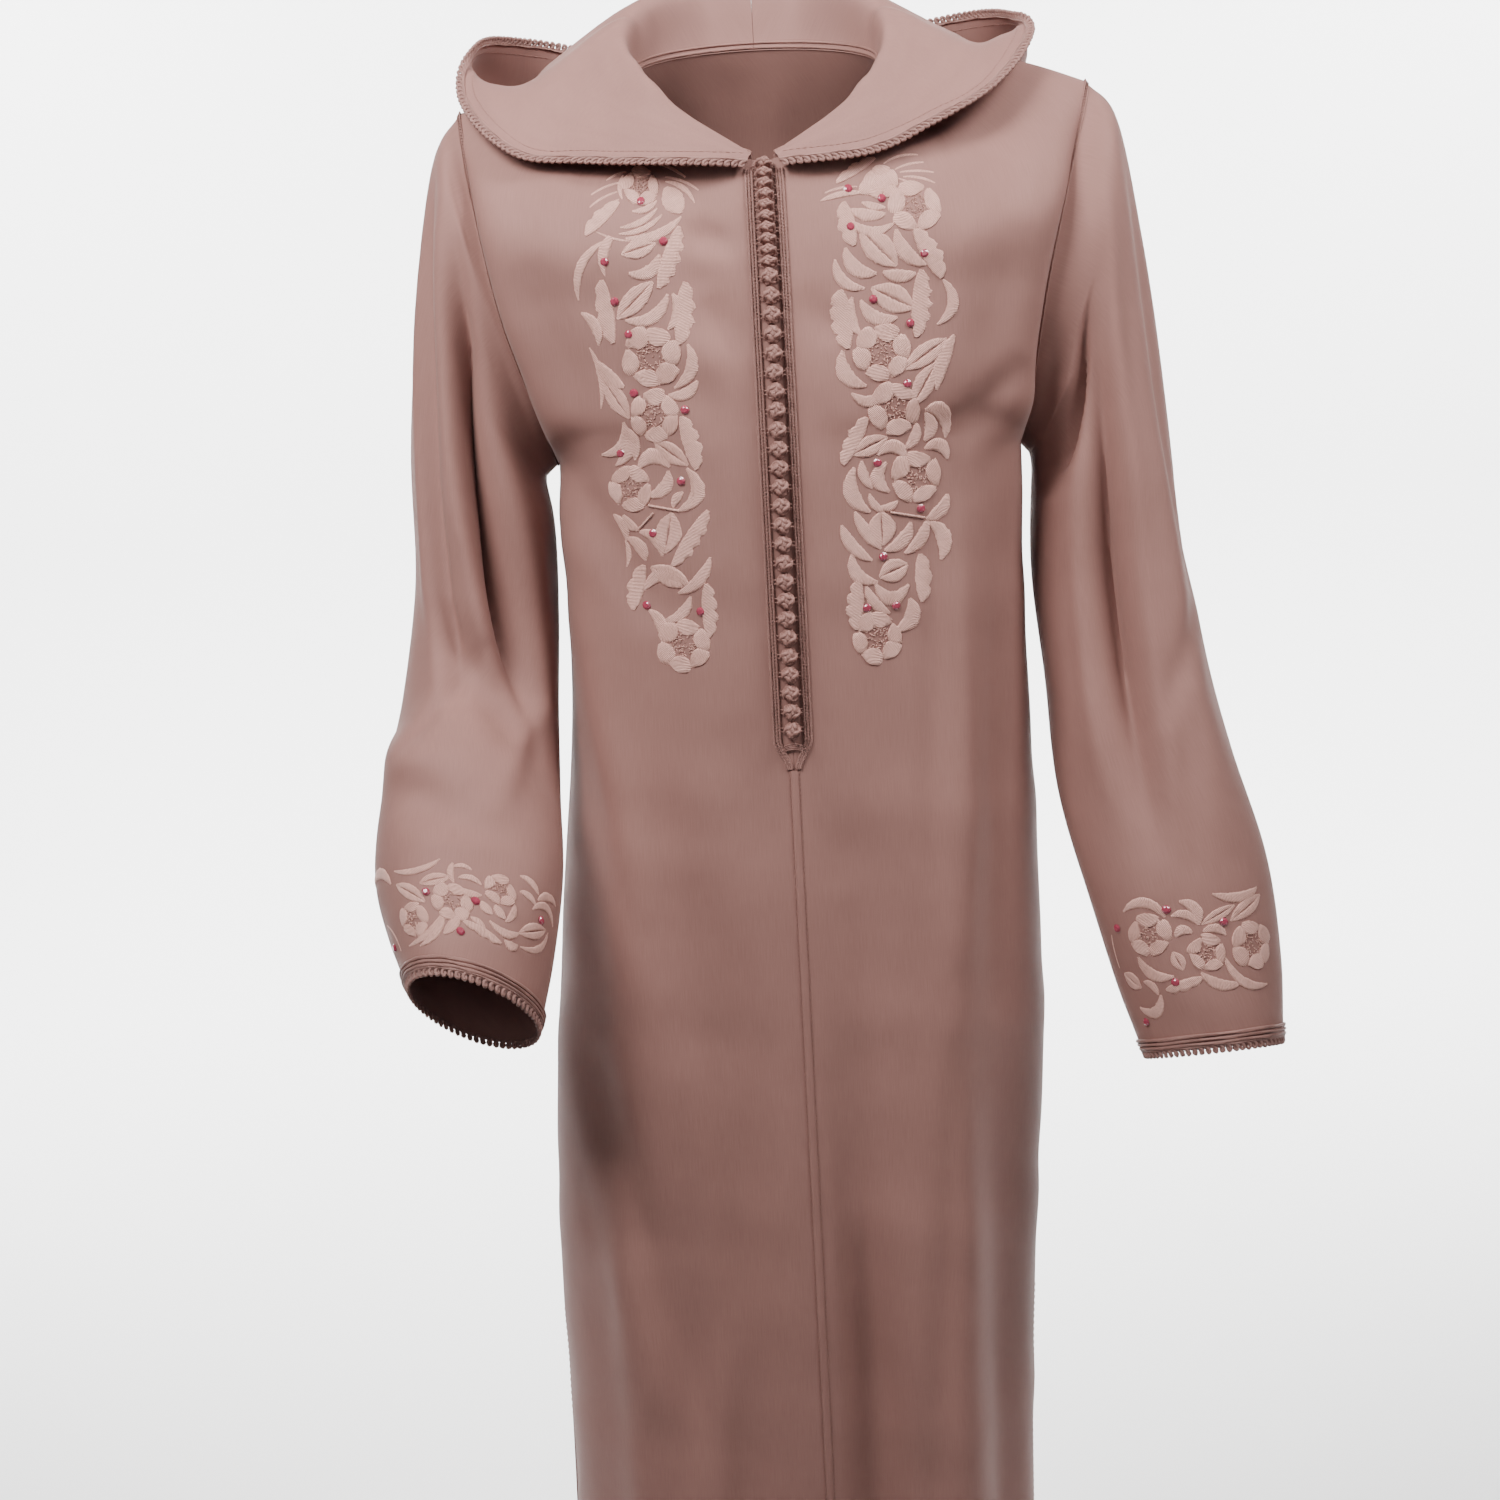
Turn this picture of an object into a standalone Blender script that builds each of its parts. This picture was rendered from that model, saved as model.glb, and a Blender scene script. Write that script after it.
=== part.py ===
"""Djellaba robe, worn and hollow: a long hooded robe with a buttoned front slit.

Metres, +Z up. The robe faces -Y and the wearer's left is +X. The origin lies
between the shoulders, level with the middle of the shoulder seams.
"""
import math

import bmesh
import bpy
import numpy as np

# Cloth and seams
CLOTH = 0.0016
SEAM_GAP = 0.0003
RIGHT = -1
LEFT = 1

# Neckline, an oval that dips at the front
NECK_HALF_WIDTH = 0.082
NECK_SIDE_Y = 0.005
NECK_FRONT_REACH = 0.093
NECK_BACK_REACH = 0.057
NECK_FRONT_Z = -0.067
NECK_SIDE_Z = 0.000
NECK_BACK_Z = 0.018
NECK_CURVE = 0.65
NECK_SHARE = 0.45
NECK_LEAN = 0.8
SHOULDER_TIP = {RIGHT: 0.200, LEFT: 0.220}
SHOULDER_TIP_Z = -0.020
SHOULDER_ARCH = {RIGHT: 0.003, LEFT: 0.011}
SHOULDER_TIP_TURN = 0.2
SHOULDER_NECK_TURN = 0.1

# Front and back panels: one row for each section below the top edge.
# right and left are the half widths, side_y and side_z place the side edge,
# mid_y and mid_z place the middle.
FRONT_SECTIONS = (
    # name        right  left   side_y  side_z  mid_y   mid_z
    ("yoke",      0.190, 0.200, -0.045, -0.085, -0.104, -0.105),
    ("chest",     0.176, 0.181, -0.062, -0.155, -0.116, -0.155),
    ("bust",      0.157, 0.171, -0.045, -0.220, -0.124, -0.215),
    ("underarm",  0.148, 0.166, 0.000, -0.256, -0.127, -0.262),
    ("waist",     0.150, 0.166, 0.000, -0.420, -0.130, -0.420),
    ("hip",       0.167, 0.170, 0.000, -0.580, -0.138, -0.580),
    ("thigh",     0.181, 0.164, 0.000, -0.760, -0.144, -0.760),
    ("knee",      0.186, 0.154, 0.000, -1.030, -0.150, -1.030),
    ("hem",       0.198, 0.168, 0.000, -1.400, -0.162, -1.400),
)
BACK_SECTIONS = (
    # name        right  left   side_y  side_z  mid_y   mid_z
    ("yoke",      0.190, 0.200, 0.050, -0.085, 0.090, -0.055),
    ("chest",     0.176, 0.181, 0.068, -0.155, 0.104, -0.130),
    ("bust",      0.157, 0.171, 0.045, -0.220, 0.108, -0.200),
    ("underarm",  0.148, 0.166, 0.000, -0.256, 0.106, -0.262),
    ("waist",     0.150, 0.166, 0.000, -0.420, 0.100, -0.420),
    ("hip",       0.167, 0.170, 0.000, -0.580, 0.113, -0.580),
    ("thigh",     0.181, 0.164, 0.000, -0.760, 0.123, -0.760),
    ("knee",      0.186, 0.154, 0.000, -1.030, 0.132, -1.030),
    ("hem",       0.198, 0.168, 0.000, -1.400, 0.148, -1.400),
)
FLATNESS = 0.75
ARMHOLE_SECTIONS = 4
UNDERARM_Z = -0.256
ARMHOLE_MIDDLE_OUT = 0.11
ARMHOLE_MIDDLE_Z = -0.15
SIDE_SEAM_TURN = 0.05
ARMHOLE_STEPS = 9
SKIRT_STEPS = 18
NECK_STEPS = 6
SHOULDER_STEPS = 6
FOLD_FREE_EDGE = 0.14

# Hanging folds of the panels: x at the top and at the hem, where the fold
# starts and where it is fully open, its half width, and how far it stands out.
PANEL_FOLDS = {
    "front": (
        # x_top   x_hem   starts  opens   half   depth
        (-0.112, -0.118, -0.200, -1.100, 0.024, 0.013),
        (-0.056, -0.060, -0.450, -1.250, 0.026, -0.011),
        (0.040, 0.030, -0.480, -1.150, 0.022, -0.017),
        (0.098, 0.078, -0.200, -1.050, 0.024, 0.013),
        (0.135, 0.125, -0.600, -1.300, 0.018, -0.008),
    ),
    "back": (
        (-0.125, -0.135, -0.300, -1.200, 0.026, 0.012),
        (-0.070, -0.080, -0.260, -1.200, 0.024, -0.014),
        (-0.020, -0.015, -0.350, -1.250, 0.026, 0.012),
        (0.045, 0.040, -0.260, -1.150, 0.024, -0.015),
        (0.105, 0.100, -0.300, -1.200, 0.026, 0.013),
    ),
}

# Side slits, from thigh level to the hem
SLIT_TOP_Z = -0.860
SLIT_FRONT_INSET = 0.020
SLIT_BACK_INSET = 0.004
SLIT_SHARE = 0.3
SLIT_PULL_IN = 0.35
SLIT_CURVE = 0.8

# Sleeves: one row for each ring after the armhole. out, fore and z place the
# centre, slant lifts the outer side and pitch the front side of the ring.
SLEEVE_RINGS = {
    RIGHT: (
        # name       out    fore   z       wide   deep   slant  pitch
        ("crown",    0.187, 0.000, -0.155, 0.111, 0.065, 74.0, 0.0),
        ("cap",      0.196, 0.000, -0.197, 0.080, 0.067, 62.0, 0.0),
        ("biceps",   0.201, 0.002, -0.268, 0.055, 0.072, 30.0, 0.0),
        ("arm",      0.204, 0.010, -0.345, 0.050, 0.070, 10.0, 5.0),
        ("elbow",    0.209, 0.034, -0.415, 0.053, 0.066, 4.0, 22.0),
        ("forearm",  0.215, 0.085, -0.468, 0.058, 0.061, 4.0, 40.0),
        ("band_top", 0.215, 0.133, -0.515, 0.060, 0.055, 5.0, 43.0),
        ("band_low", 0.213, 0.168, -0.553, 0.053, 0.050, 12.0, 43.0),
        ("cuff",     0.211, 0.192, -0.583, 0.044, 0.047, 18.0, 42.0),
    ),
    LEFT: (
        ("crown",    0.206, 0.000, -0.154, 0.113, 0.065, 73.0, 0.0),
        ("cap",      0.215, 0.000, -0.197, 0.081, 0.067, 61.0, 0.0),
        ("biceps",   0.221, 0.004, -0.266, 0.053, 0.072, 28.0, 0.0),
        ("arm",      0.225, 0.012, -0.342, 0.053, 0.070, 9.0, 4.0),
        ("elbow",    0.231, 0.030, -0.415, 0.055, 0.066, 6.0, 12.0),
        ("forearm",  0.240, 0.055, -0.480, 0.059, 0.061, 8.0, 18.0),
        ("band_top", 0.255, 0.080, -0.548, 0.060, 0.055, 8.0, 18.0),
        ("band_low", 0.266, 0.097, -0.614, 0.055, 0.051, 6.0, 17.0),
        ("cuff",     0.272, 0.109, -0.659, 0.047, 0.047, 4.0, 16.0),
    ),
}
SLEEVE_STEPS = 17
SLEEVE_SEAM_GAP = 0.0002

# Sleeve folds: ring numbers where each starts and ends, its angle round the
# arm there (0 outside, 90 in front), half width in degrees, and depth.
SLEEVE_FOLDS = {
    RIGHT: (
        # from  to    angle_1  angle_2  half   depth
        (1.4,   5.2,  75.0,    128.0,   24.0, -0.009),
        (2.0,   5.8,  118.0,   150.0,   20.0, 0.006),
        (4.0,   6.2,  60.0,    150.0,   24.0, -0.007),
        (1.8,   5.5,  -60.0,   -100.0,  24.0, -0.008),
    ),
    LEFT: (
        (2.0,   7.2,  92.0,    104.0,   22.0, -0.010),
        (2.2,   7.0,  50.0,    62.0,    22.0, 0.006),
        (1.6,   3.2,  120.0,   150.0,   20.0, -0.008),
        (1.8,   6.0,  -70.0,   -110.0,  24.0, -0.008),
    ),
}

# Hood, thrown back: one row for each section, from the front end of the
# neckline to the middle of the back. angle is the place on the neckline,
# heading the way the section runs from it, ridge where the cloth turns over
# beside the neck, bottom the lowest part of the pouch, rim the face edge.
HOOD_SECTIONS = {
    RIGHT: (
        # angle heading ridge_out ridge_z bottom_out bottom_z rim_out rim_z
        (5.0,   35.0,   0.001,   -0.0625, 0.004,    -0.0640,  0.006, -0.0665),
        (28.0,  66.0,   0.003,   -0.040,  0.020,    -0.050,   0.034, -0.062),
        (50.0,  68.0,   0.004,   -0.018,  0.032,    -0.038,   0.056, -0.058),
        (70.0,  66.0,   0.004,   0.006,   0.050,    -0.030,   0.088, -0.051),
        (90.0,  82.0,   0.006,   0.027,   0.072,    -0.004,   0.112, -0.013),
        (110.0, 100.0,  0.008,   0.042,   0.090,    -0.020,   0.116, 0.026),
        (132.0, 124.0,  0.012,   0.052,   0.096,    -0.080,   0.122, 0.034),
        (155.0, 146.0,  0.014,   0.058,   0.076,    -0.185,   0.098, 0.020),
        (180.0, 180.0,  0.016,   0.060,   0.062,    -0.270,   0.086, 0.004),
    ),
    LEFT: (
        (5.0,   35.0,   0.001,   -0.0625, 0.004,    -0.0640,  0.006, -0.0665),
        (28.0,  66.0,   0.003,   -0.042,  0.018,    -0.050,   0.030, -0.062),
        (50.0,  68.0,   0.004,   -0.022,  0.030,    -0.036,   0.050, -0.045),
        (70.0,  68.0,   0.004,   0.000,   0.044,    -0.018,   0.078, -0.024),
        (90.0,  82.0,   0.005,   0.026,   0.064,    0.007,    0.098, 0.010),
        (110.0, 100.0,  0.008,   0.040,   0.084,    -0.006,   0.104, 0.028),
        (132.0, 124.0,  0.012,   0.052,   0.094,    -0.080,   0.112, 0.036),
        (155.0, 146.0,  0.014,   0.058,   0.074,    -0.185,   0.092, 0.026),
        (180.0, 180.0,  0.016,   0.060,   0.062,    -0.270,   0.086, 0.004),
    ),
}
HOOD_START_ANGLE = 5.0
HOOD_SEAM_GAP = 0.0004
HOOD_BACK_STEPS = 12
HOOD_ROWS = 15
POUCH_START_ANGLE = 85.0
POUCH_FULL_ANGLE = 130.0
POUCH_FALL = 0.30
POUCH_SWELL = 0.55
POUCH_OUTER = 0.018

# Front fastening
BUTTON_RADIUS = 0.0055
BUTTON_SEGMENTS = 6
BUTTON_RINGS = 5
BUTTON_COUNT = 35
SQUEEZED_BUTTONS = 10
SQUEEZED_PITCH = 0.0072
SQUEEZED_HALF_HEIGHT = 0.0033
FIRST_BUTTON = 0.004
LAST_BUTTON = 0.366
BRAID_INNER = 0.0068
BRAID_WIDTH = 0.0060
BRAID_THICK = 0.0016
BRAID_POINT = 0.020
BRAID_CLOSED = 0.0008
BRAID_NARROWING = 0.35
BRAID_COLUMNS = 4
BRAID_START = 0.008
BRAID_END = 0.392
TUCK_WIDTH = 0.0050
TUCK_THICK = 0.0012
TUCK_START = BRAID_END + 0.002
TUCK_NEXT = BRAID_END + 0.010
TRIM_LIFT = 0.0003

# Edge trims
LOOP_DEEP = 0.0055
LOOP_THICK = 0.0026
EASING = 3
CUFF_BAND_WIDTH = 0.0080
CUFF_BAND_THICK = 0.0012
CUFF_BAND_INSET = 0.0006

SHARP_ANGLE = 50.0
ROUGHNESS = 0.85
COLOURS = {
    "cloth": (0.340, 0.205, 0.178, 1.0),
    "hood": (0.400, 0.250, 0.225, 1.0),
    "braid": (0.300, 0.160, 0.140, 1.0),
}


def side_name(side):
    """The wearer's side in words."""
    return "right" if side == RIGHT else "left"


def smooth(value):
    """Ease from 0 to 1."""
    value = np.clip(value, 0.0, 1.0)
    return value * value * (3.0 - 2.0 * value)


def unit(vectors):
    """Vectors at length 1."""
    vectors = np.asarray(vectors, float)
    return vectors / np.linalg.norm(vectors, axis=-1, keepdims=True)


def through(rows, at):
    """A smooth curve through the rows, read at row numbers that may be fractions."""
    rows = np.asarray(rows, float)
    at = np.clip(np.atleast_1d(np.asarray(at, float)), 0.0, len(rows) - 1.0)
    padded = np.concatenate(([2 * rows[0] - rows[1]], rows, [2 * rows[-1] - rows[-2]]))
    start = np.minimum(at.astype(int), len(rows) - 2)
    t = (at - start).reshape(-1, *([1] * (rows.ndim - 1)))
    a, b, c, d = (padded[start + step] for step in range(4))
    return 0.5 * (2 * b + (c - a) * t + (2 * a - 5 * b + 4 * c - d) * t ** 2
                  + (3 * b - a - 3 * c + d) * t ** 3)


def neckline(angle, side):
    """A point of the neckline; angle is 0 in front and 180 degrees behind."""
    turn = math.radians(angle)
    ahead = math.cos(turn)
    x = side * NECK_HALF_WIDTH * math.sin(turn)
    if ahead >= 0:
        y = NECK_SIDE_Y - NECK_FRONT_REACH * ahead
        z = NECK_FRONT_Z + (NECK_SIDE_Z - NECK_FRONT_Z) * (1 - ahead) ** NECK_CURVE
    else:
        y = NECK_SIDE_Y - NECK_BACK_REACH * ahead
        z = NECK_SIDE_Z - (NECK_BACK_Z - NECK_SIDE_Z) * ahead
    return np.array((x, y, z))


def neck_seam(angle, side):
    """A point of the neckline seam, straight between the panels' own points."""
    step = 90.0 / NECK_STEPS
    low = min(math.floor(angle / step + 1e-6), 2 * NECK_STEPS - 1)
    share = angle / step - low
    return neckline(low * step, side) * (1 - share) + neckline((low + 1) * step, side) * share


def neck_inward(point):
    """Across the cloth at the neckline: half inwards and half down."""
    inwards = unit(np.array((-point[0], NECK_SIDE_Y - point[1], 0.0)))
    return unit(inwards - np.array((0.0, 0.0, NECK_LEAN)))


def top_edge(u, side, face):
    """Top of a panel: along the neckline, then along the shoulder seam."""
    if u <= NECK_SHARE:
        quarter = 90.0 * u / NECK_SHARE
        return neckline(quarter if face == "front" else 180.0 - quarter, side)
    start = neckline(90.0, side)
    tip = np.array((side * SHOULDER_TIP[side], 0.0, SHOULDER_TIP_Z))
    share = (u - NECK_SHARE) / (1 - NECK_SHARE)
    arch = SHOULDER_ARCH[side] * math.sin(math.pi * share)
    return start + (tip - start) * share + np.array((0.0, 0.0, arch))


def sections(face):
    """The section table of a panel as numbers."""
    rows = FRONT_SECTIONS if face == "front" else BACK_SECTIONS
    return np.array([row[1:] for row in rows])


def section_point(row, u, side):
    """A point on one section of a panel, u from the middle to the side edge."""
    right, left, side_y, side_z, mid_y, mid_z = row
    turn = 0.5 * math.pi * u
    reach = math.cos(turn) if u < 1 else 0.0
    x = side * (right if side == RIGHT else left) * math.sin(turn)
    y = side_y + (mid_y - side_y) * reach ** FLATNESS
    z = side_z + (mid_z - side_z) * reach ** 2
    return np.array((x, y, z))


def side_edge(level, side, face):
    """The side edge of a panel: the armhole, then the side seam."""
    table = sections(face)
    tip = top_edge(1.0, side, face)
    edge = [tip] + [section_point(row, 1.0, side) for row in table]
    if level >= ARMHOLE_SECTIONS:
        return through(edge[ARMHOLE_SECTIONS:], level - ARMHOLE_SECTIONS)[0]
    upper = edge[:ARMHOLE_SECTIONS + 1]
    beyond_tip = tip * np.array((1, -1, 1)) + (upper[1] - tip) * np.array((1, -1, 1))
    beyond_low = upper[-2] * np.array((1, -1, 1))
    return through([beyond_tip] + upper + [beyond_low], level + 1)[0]


def fold_depth(x, z, face):
    """How far the hanging folds push a panel out at x and z."""
    total = 0.0
    for x_top, x_hem, starts, opens, half, depth in PANEL_FOLDS[face]:
        share = (z - starts) / (FRONT_SECTIONS[-1][4] - starts)
        middle = x_top + (x_hem - x_top) * min(max(share, 0.0), 1.0)
        strength = smooth((z - starts) / (opens - starts))
        total += depth * strength * math.exp(-((x - middle) / half) ** 2)
    return total


def panel_point(u, level, side, face):
    """A point on the outside of the front or back; level counts sections."""
    column = [top_edge(u, side, face)]
    column += [section_point(row, u, side) for row in sections(face)]
    point = through(column, level)[0]
    edge_column = [top_edge(1.0, side, face)]
    edge_column += [section_point(row, 1.0, side) for row in sections(face)]
    edge_miss = side_edge(level, side, face) - through(edge_column, level)[0]
    point = point + edge_miss * u ** 3
    forward = -1.0 if face == "front" else 1.0
    turn = 0.5 * math.pi * u
    outward = np.array((side * math.sin(turn), forward * math.cos(turn), 0.0))
    edge_hold = smooth((1.0 - u) / FOLD_FREE_EDGE)
    point = point + outward * fold_depth(point[0], point[2], face) * edge_hold
    if point[2] < SLIT_TOP_Z:
        inset = SLIT_FRONT_INSET if face == "front" else SLIT_BACK_INSET
        share = (point[2] - SLIT_TOP_Z) / (FRONT_SECTIONS[-1][4] - SLIT_TOP_Z)
        near_edge = smooth((u - 1.0 + SLIT_SHARE) / SLIT_SHARE)
        pull = np.array((-SLIT_PULL_IN * side, forward, 0.0))
        point = point + pull * inset * share ** SLIT_CURVE * near_edge
    return point


def panel_levels():
    """Section numbers of a panel's rows, closer together at the armhole."""
    last = len(FRONT_SECTIONS)
    upper = np.linspace(0.0, ARMHOLE_SECTIONS, ARMHOLE_STEPS + 1)
    lower = np.linspace(ARMHOLE_SECTIONS, last, SKIRT_STEPS + 1)[1:]
    return np.concatenate((upper, lower))


def ease(directions, closed=False):
    """Directions along an edge, each drawn towards its neighbours."""
    for _ in range(EASING):
        eased = unit(directions + 0.5 * np.roll(directions, 1, axis=0)
                     + 0.5 * np.roll(directions, -1, axis=0))
        if not closed:
            eased[0] = directions[0]
            eased[-1] = directions[-1]
        directions = eased
    return directions


def grid_inward(grid, flip, closed=False):
    """Directions across the cloth, from the outside to the inside of a grid."""
    if closed:
        along = np.roll(grid, -1, axis=1) - np.roll(grid, 1, axis=1)
    else:
        along = np.gradient(grid, axis=1)
    down = np.gradient(grid, axis=0)
    return unit(np.cross(along, down) * flip)


def armhole_inward(point, side):
    """Across the cloth at the armhole seam and the side seam."""
    middle = np.array((side * ARMHOLE_MIDDLE_OUT, 0.0, ARMHOLE_MIDDLE_Z))
    towards_middle = unit(middle - point)
    towards_body = np.array((-side, 0.0, 0.0))
    share = smooth((UNDERARM_Z - point[2]) / SIDE_SEAM_TURN)
    return unit(towards_middle * (1 - share) + towards_body * share)


def shoulder_inward(u, point, side):
    """Across the cloth at the shoulder seam, turning at its two ends."""
    down = np.array((0.0, 0.0, -1.0))
    near_tip = smooth((u - 1.0 + SHOULDER_TIP_TURN) / SHOULDER_TIP_TURN)
    near_neck = smooth((NECK_SHARE + SHOULDER_NECK_TURN - u) / SHOULDER_NECK_TURN)
    middle = down * (1 - near_tip) + armhole_inward(point, side) * near_tip
    return unit(middle * (1 - near_neck) + neck_inward(neckline(90.0, side)) * near_neck)


def seam_away(tangent, inward, towards):
    """Straight away from a seam, within the cloth, on the side of towards."""
    away = unit(np.cross(tangent, inward))
    return away * np.sign(np.sum(away * towards, axis=-1, keepdims=True))


def shift_edges(grid, inward, face, side):
    """Draw a panel's edges back from its seams by half the seam gap."""
    half = 0.5 * SEAM_GAP
    forward = -1.0 if face == "front" else 1.0
    shifted = grid.copy()
    if face == "front":
        shifted[:, 0, 0] += side * half
    shifted[0, NECK_STEPS:, 1] += forward * half
    shifted[0, -1, 0] -= side * half
    shifted[ARMHOLE_STEPS, -1, 2] -= half
    shifted[ARMHOLE_STEPS:, -1, 1] += forward * half
    for row in range(1, ARMHOLE_STEPS):
        tangent = grid[row + 1, -1] - grid[row - 1, -1]
        towards = grid[row + 1, -2] - grid[row, -1]
        shifted[row, -1] += seam_away(tangent, inward[row, -1], towards) * half
    return shifted


def panel_columns():
    """Places across half a panel, with one at the end of the neckline."""
    beside_neck = np.linspace(0.0, NECK_SHARE, NECK_STEPS + 1)
    shoulder = np.linspace(NECK_SHARE, 1.0, SHOULDER_STEPS + 1)[1:]
    return np.concatenate((beside_neck, shoulder))


def half_panel(face, side):
    """Outer points and inward directions of half a panel."""
    levels = panel_levels()
    across = panel_columns()
    grid = np.array([[panel_point(u, level, side, face) for u in across] for level in levels])
    flip = side * (1 if face == "front" else -1)
    inward = grid_inward(grid, flip)
    for row in range(len(levels)):
        middle_inward = inward[row, 0] * np.array((0.0, 1.0, 1.0))
        inward[row, 0] = unit(middle_inward)
        inward[row, -1] = armhole_inward(grid[row, -1], side)
    for column, u in enumerate(across):
        if u <= NECK_SHARE:
            inward[0, column] = neck_inward(grid[0, column])
        else:
            inward[0, column] = shoulder_inward(u, grid[0, column], side)
    return shift_edges(grid, inward, face, side), inward


def whole_back():
    """Outer points and inward directions of the back, in one piece."""
    right_grid, right_inward = half_panel("back", RIGHT)
    left_grid, left_inward = half_panel("back", LEFT)
    grid = np.concatenate((right_grid[:, :0:-1], left_grid), axis=1)
    inward = np.concatenate((right_inward[:, :0:-1], left_inward), axis=1)
    return grid, inward


def armhole_loop(side):
    """The armhole's points, from the underarm over the front and the tip."""
    levels = panel_levels()[:ARMHOLE_STEPS + 1]
    front = [side_edge(level, side, "front") for level in levels]
    back = [side_edge(level, side, "back") for level in levels]
    return np.array(front[::-1] + back[1:-1])


def sleeve_ring(row, side, angles):
    """One ring of a sleeve from its table row."""
    out, fore, z, wide, deep, slant, pitch = row
    lean = math.radians(slant)
    nod = math.radians(pitch)
    across = np.array((side * math.cos(lean), 0.0, math.sin(lean)))
    ahead = np.array((0.0, -math.cos(nod), math.sin(nod)))
    centre = np.array((side * out, -fore, z))
    turns = np.radians(angles)[:, None]
    return centre + across * wide * np.cos(turns) + ahead * deep * np.sin(turns)


def sleeve_fold(angle, ring, side):
    """How far the sleeve's folds push it out at an angle and ring number."""
    total = 0.0
    for start, end, angle_1, angle_2, half, depth in SLEEVE_FOLDS[side]:
        share = (ring - start) / (end - start)
        if not 0.0 < share < 1.0:
            continue
        middle = angle_1 + (angle_2 - angle_1) * share
        apart = (angle - middle + 180.0) % 360.0 - 180.0
        total += depth * math.sin(math.pi * share) * math.exp(-(apart / half) ** 2)
    return total


def sleeve_grid(side):
    """Outer points and inward directions of a sleeve, ring by ring."""
    loop = armhole_loop(side)
    count = len(loop)
    angles = 180.0 - 360.0 * np.arange(count) / count
    table = np.array([row[1:] for row in SLEEVE_RINGS[side]])
    rings = [loop] + [sleeve_ring(row, side, angles) for row in table]
    steps = np.linspace(0.0, len(table), SLEEVE_STEPS + 1)
    grid = through(rings, steps)
    inward = grid_inward(grid, side, closed=True)
    for row, step in enumerate(steps):
        for column, angle in enumerate(angles):
            grid[row, column] -= inward[row, column] * sleeve_fold(angle, step, side)
    inward = grid_inward(grid, side, closed=True)
    inward[0] = [armhole_inward(point, side) for point in loop]
    tangents = np.roll(loop, -1, axis=0) - np.roll(loop, 1, axis=0)
    grid[0] = loop + seam_away(tangents, inward[0], grid[1] - grid[0]) * SLEEVE_SEAM_GAP
    return grid, inward


def hood_section(row, side):
    """Points down one section of the hood, from the neckline to the face edge."""
    angle, heading, ridge_out, ridge_z, bottom_out, bottom_z, rim_out, rim_z = row
    start = neck_seam(angle, side)
    way = np.array((side * math.sin(math.radians(heading)),
                    -math.cos(math.radians(heading)), 0.0))

    def at(out, z):
        return start * np.array((1, 1, 0)) + way * out + np.array((0.0, 0.0, z))

    pouch = smooth((angle - POUCH_START_ANGLE) / (POUCH_FULL_ANGLE - POUCH_START_ANGLE))
    fall_z = ridge_z + (bottom_z - ridge_z) * 0.5
    fall_out = ridge_out + (bottom_out - ridge_out) * (0.5 + POUCH_FALL * pouch)
    swell_z = bottom_z + (rim_z - bottom_z) * 0.5
    swell_out = bottom_out + (rim_out - bottom_out) * (0.5 + POUCH_SWELL * pouch)
    swell_out += POUCH_OUTER * pouch
    return np.array((start, at(ridge_out, ridge_z), at(fall_out, fall_z),
                     at(bottom_out, bottom_z), at(swell_out, swell_z), at(rim_out, rim_z)))


def hood_grid(side):
    """Outer points and inward directions of one half of the hood."""
    table = np.array(HOOD_SECTIONS[side])
    front_angles = np.linspace(0.0, 90.0, NECK_STEPS + 1)[1:]
    back_angles = np.linspace(90.0, 180.0, HOOD_BACK_STEPS + 1)[1:]
    angles = np.concatenate(([HOOD_START_ANGLE], front_angles, back_angles))
    stations = np.interp(angles, table[:, 0], np.arange(len(table)))
    rows = through(table, stations)
    rows[:, 0] = angles
    columns = [through(hood_section(row, side), np.linspace(0, 5, HOOD_ROWS)) for row in rows]
    grid = np.array(columns).transpose(1, 0, 2)
    inward = grid_inward(grid, -side)
    for column, row in enumerate(rows):
        seam = neck_seam(row[0], side)
        inward[0, column] = neck_inward(seam)
        tangent = neckline(row[0] + 1.0, side) - neckline(row[0] - 1.0, side)
        away = unit(np.cross(tangent, inward[0, column]) * side)
        grid[0, column] = seam + away * HOOD_SEAM_GAP
    inward[:, -1, 0] = 0.0
    inward[:, -1] = unit(inward[:, -1])
    inward[-1] = ease(inward[-1])
    grid[:, -1, 0] = side * 0.5 * SEAM_GAP
    return grid, inward


def make_object(name, verts, faces, colour, collection):
    """A named object from points and faces, with its own material."""
    mesh = bpy.data.meshes.new(name)
    mesh.from_pydata([tuple(v) for v in verts], [], faces)
    shape = bmesh.new()
    shape.from_mesh(mesh)
    bmesh.ops.recalc_face_normals(shape, faces=shape.faces)
    shape.to_mesh(mesh)
    shape.free()
    mesh.shade_smooth()
    mesh.set_sharp_from_angle(angle=math.radians(SHARP_ANGLE))
    material = bpy.data.materials.new(name)
    material.use_nodes = True
    shader = material.node_tree.nodes["Principled BSDF"]
    shader.inputs["Base Color"].default_value = COLOURS[colour]
    shader.inputs["Roughness"].default_value = ROUGHNESS
    shader.inputs["Metallic"].default_value = 0.0
    mesh.materials.append(material)
    item = bpy.data.objects.new(name, mesh)
    collection.objects.link(item)
    return item


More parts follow.
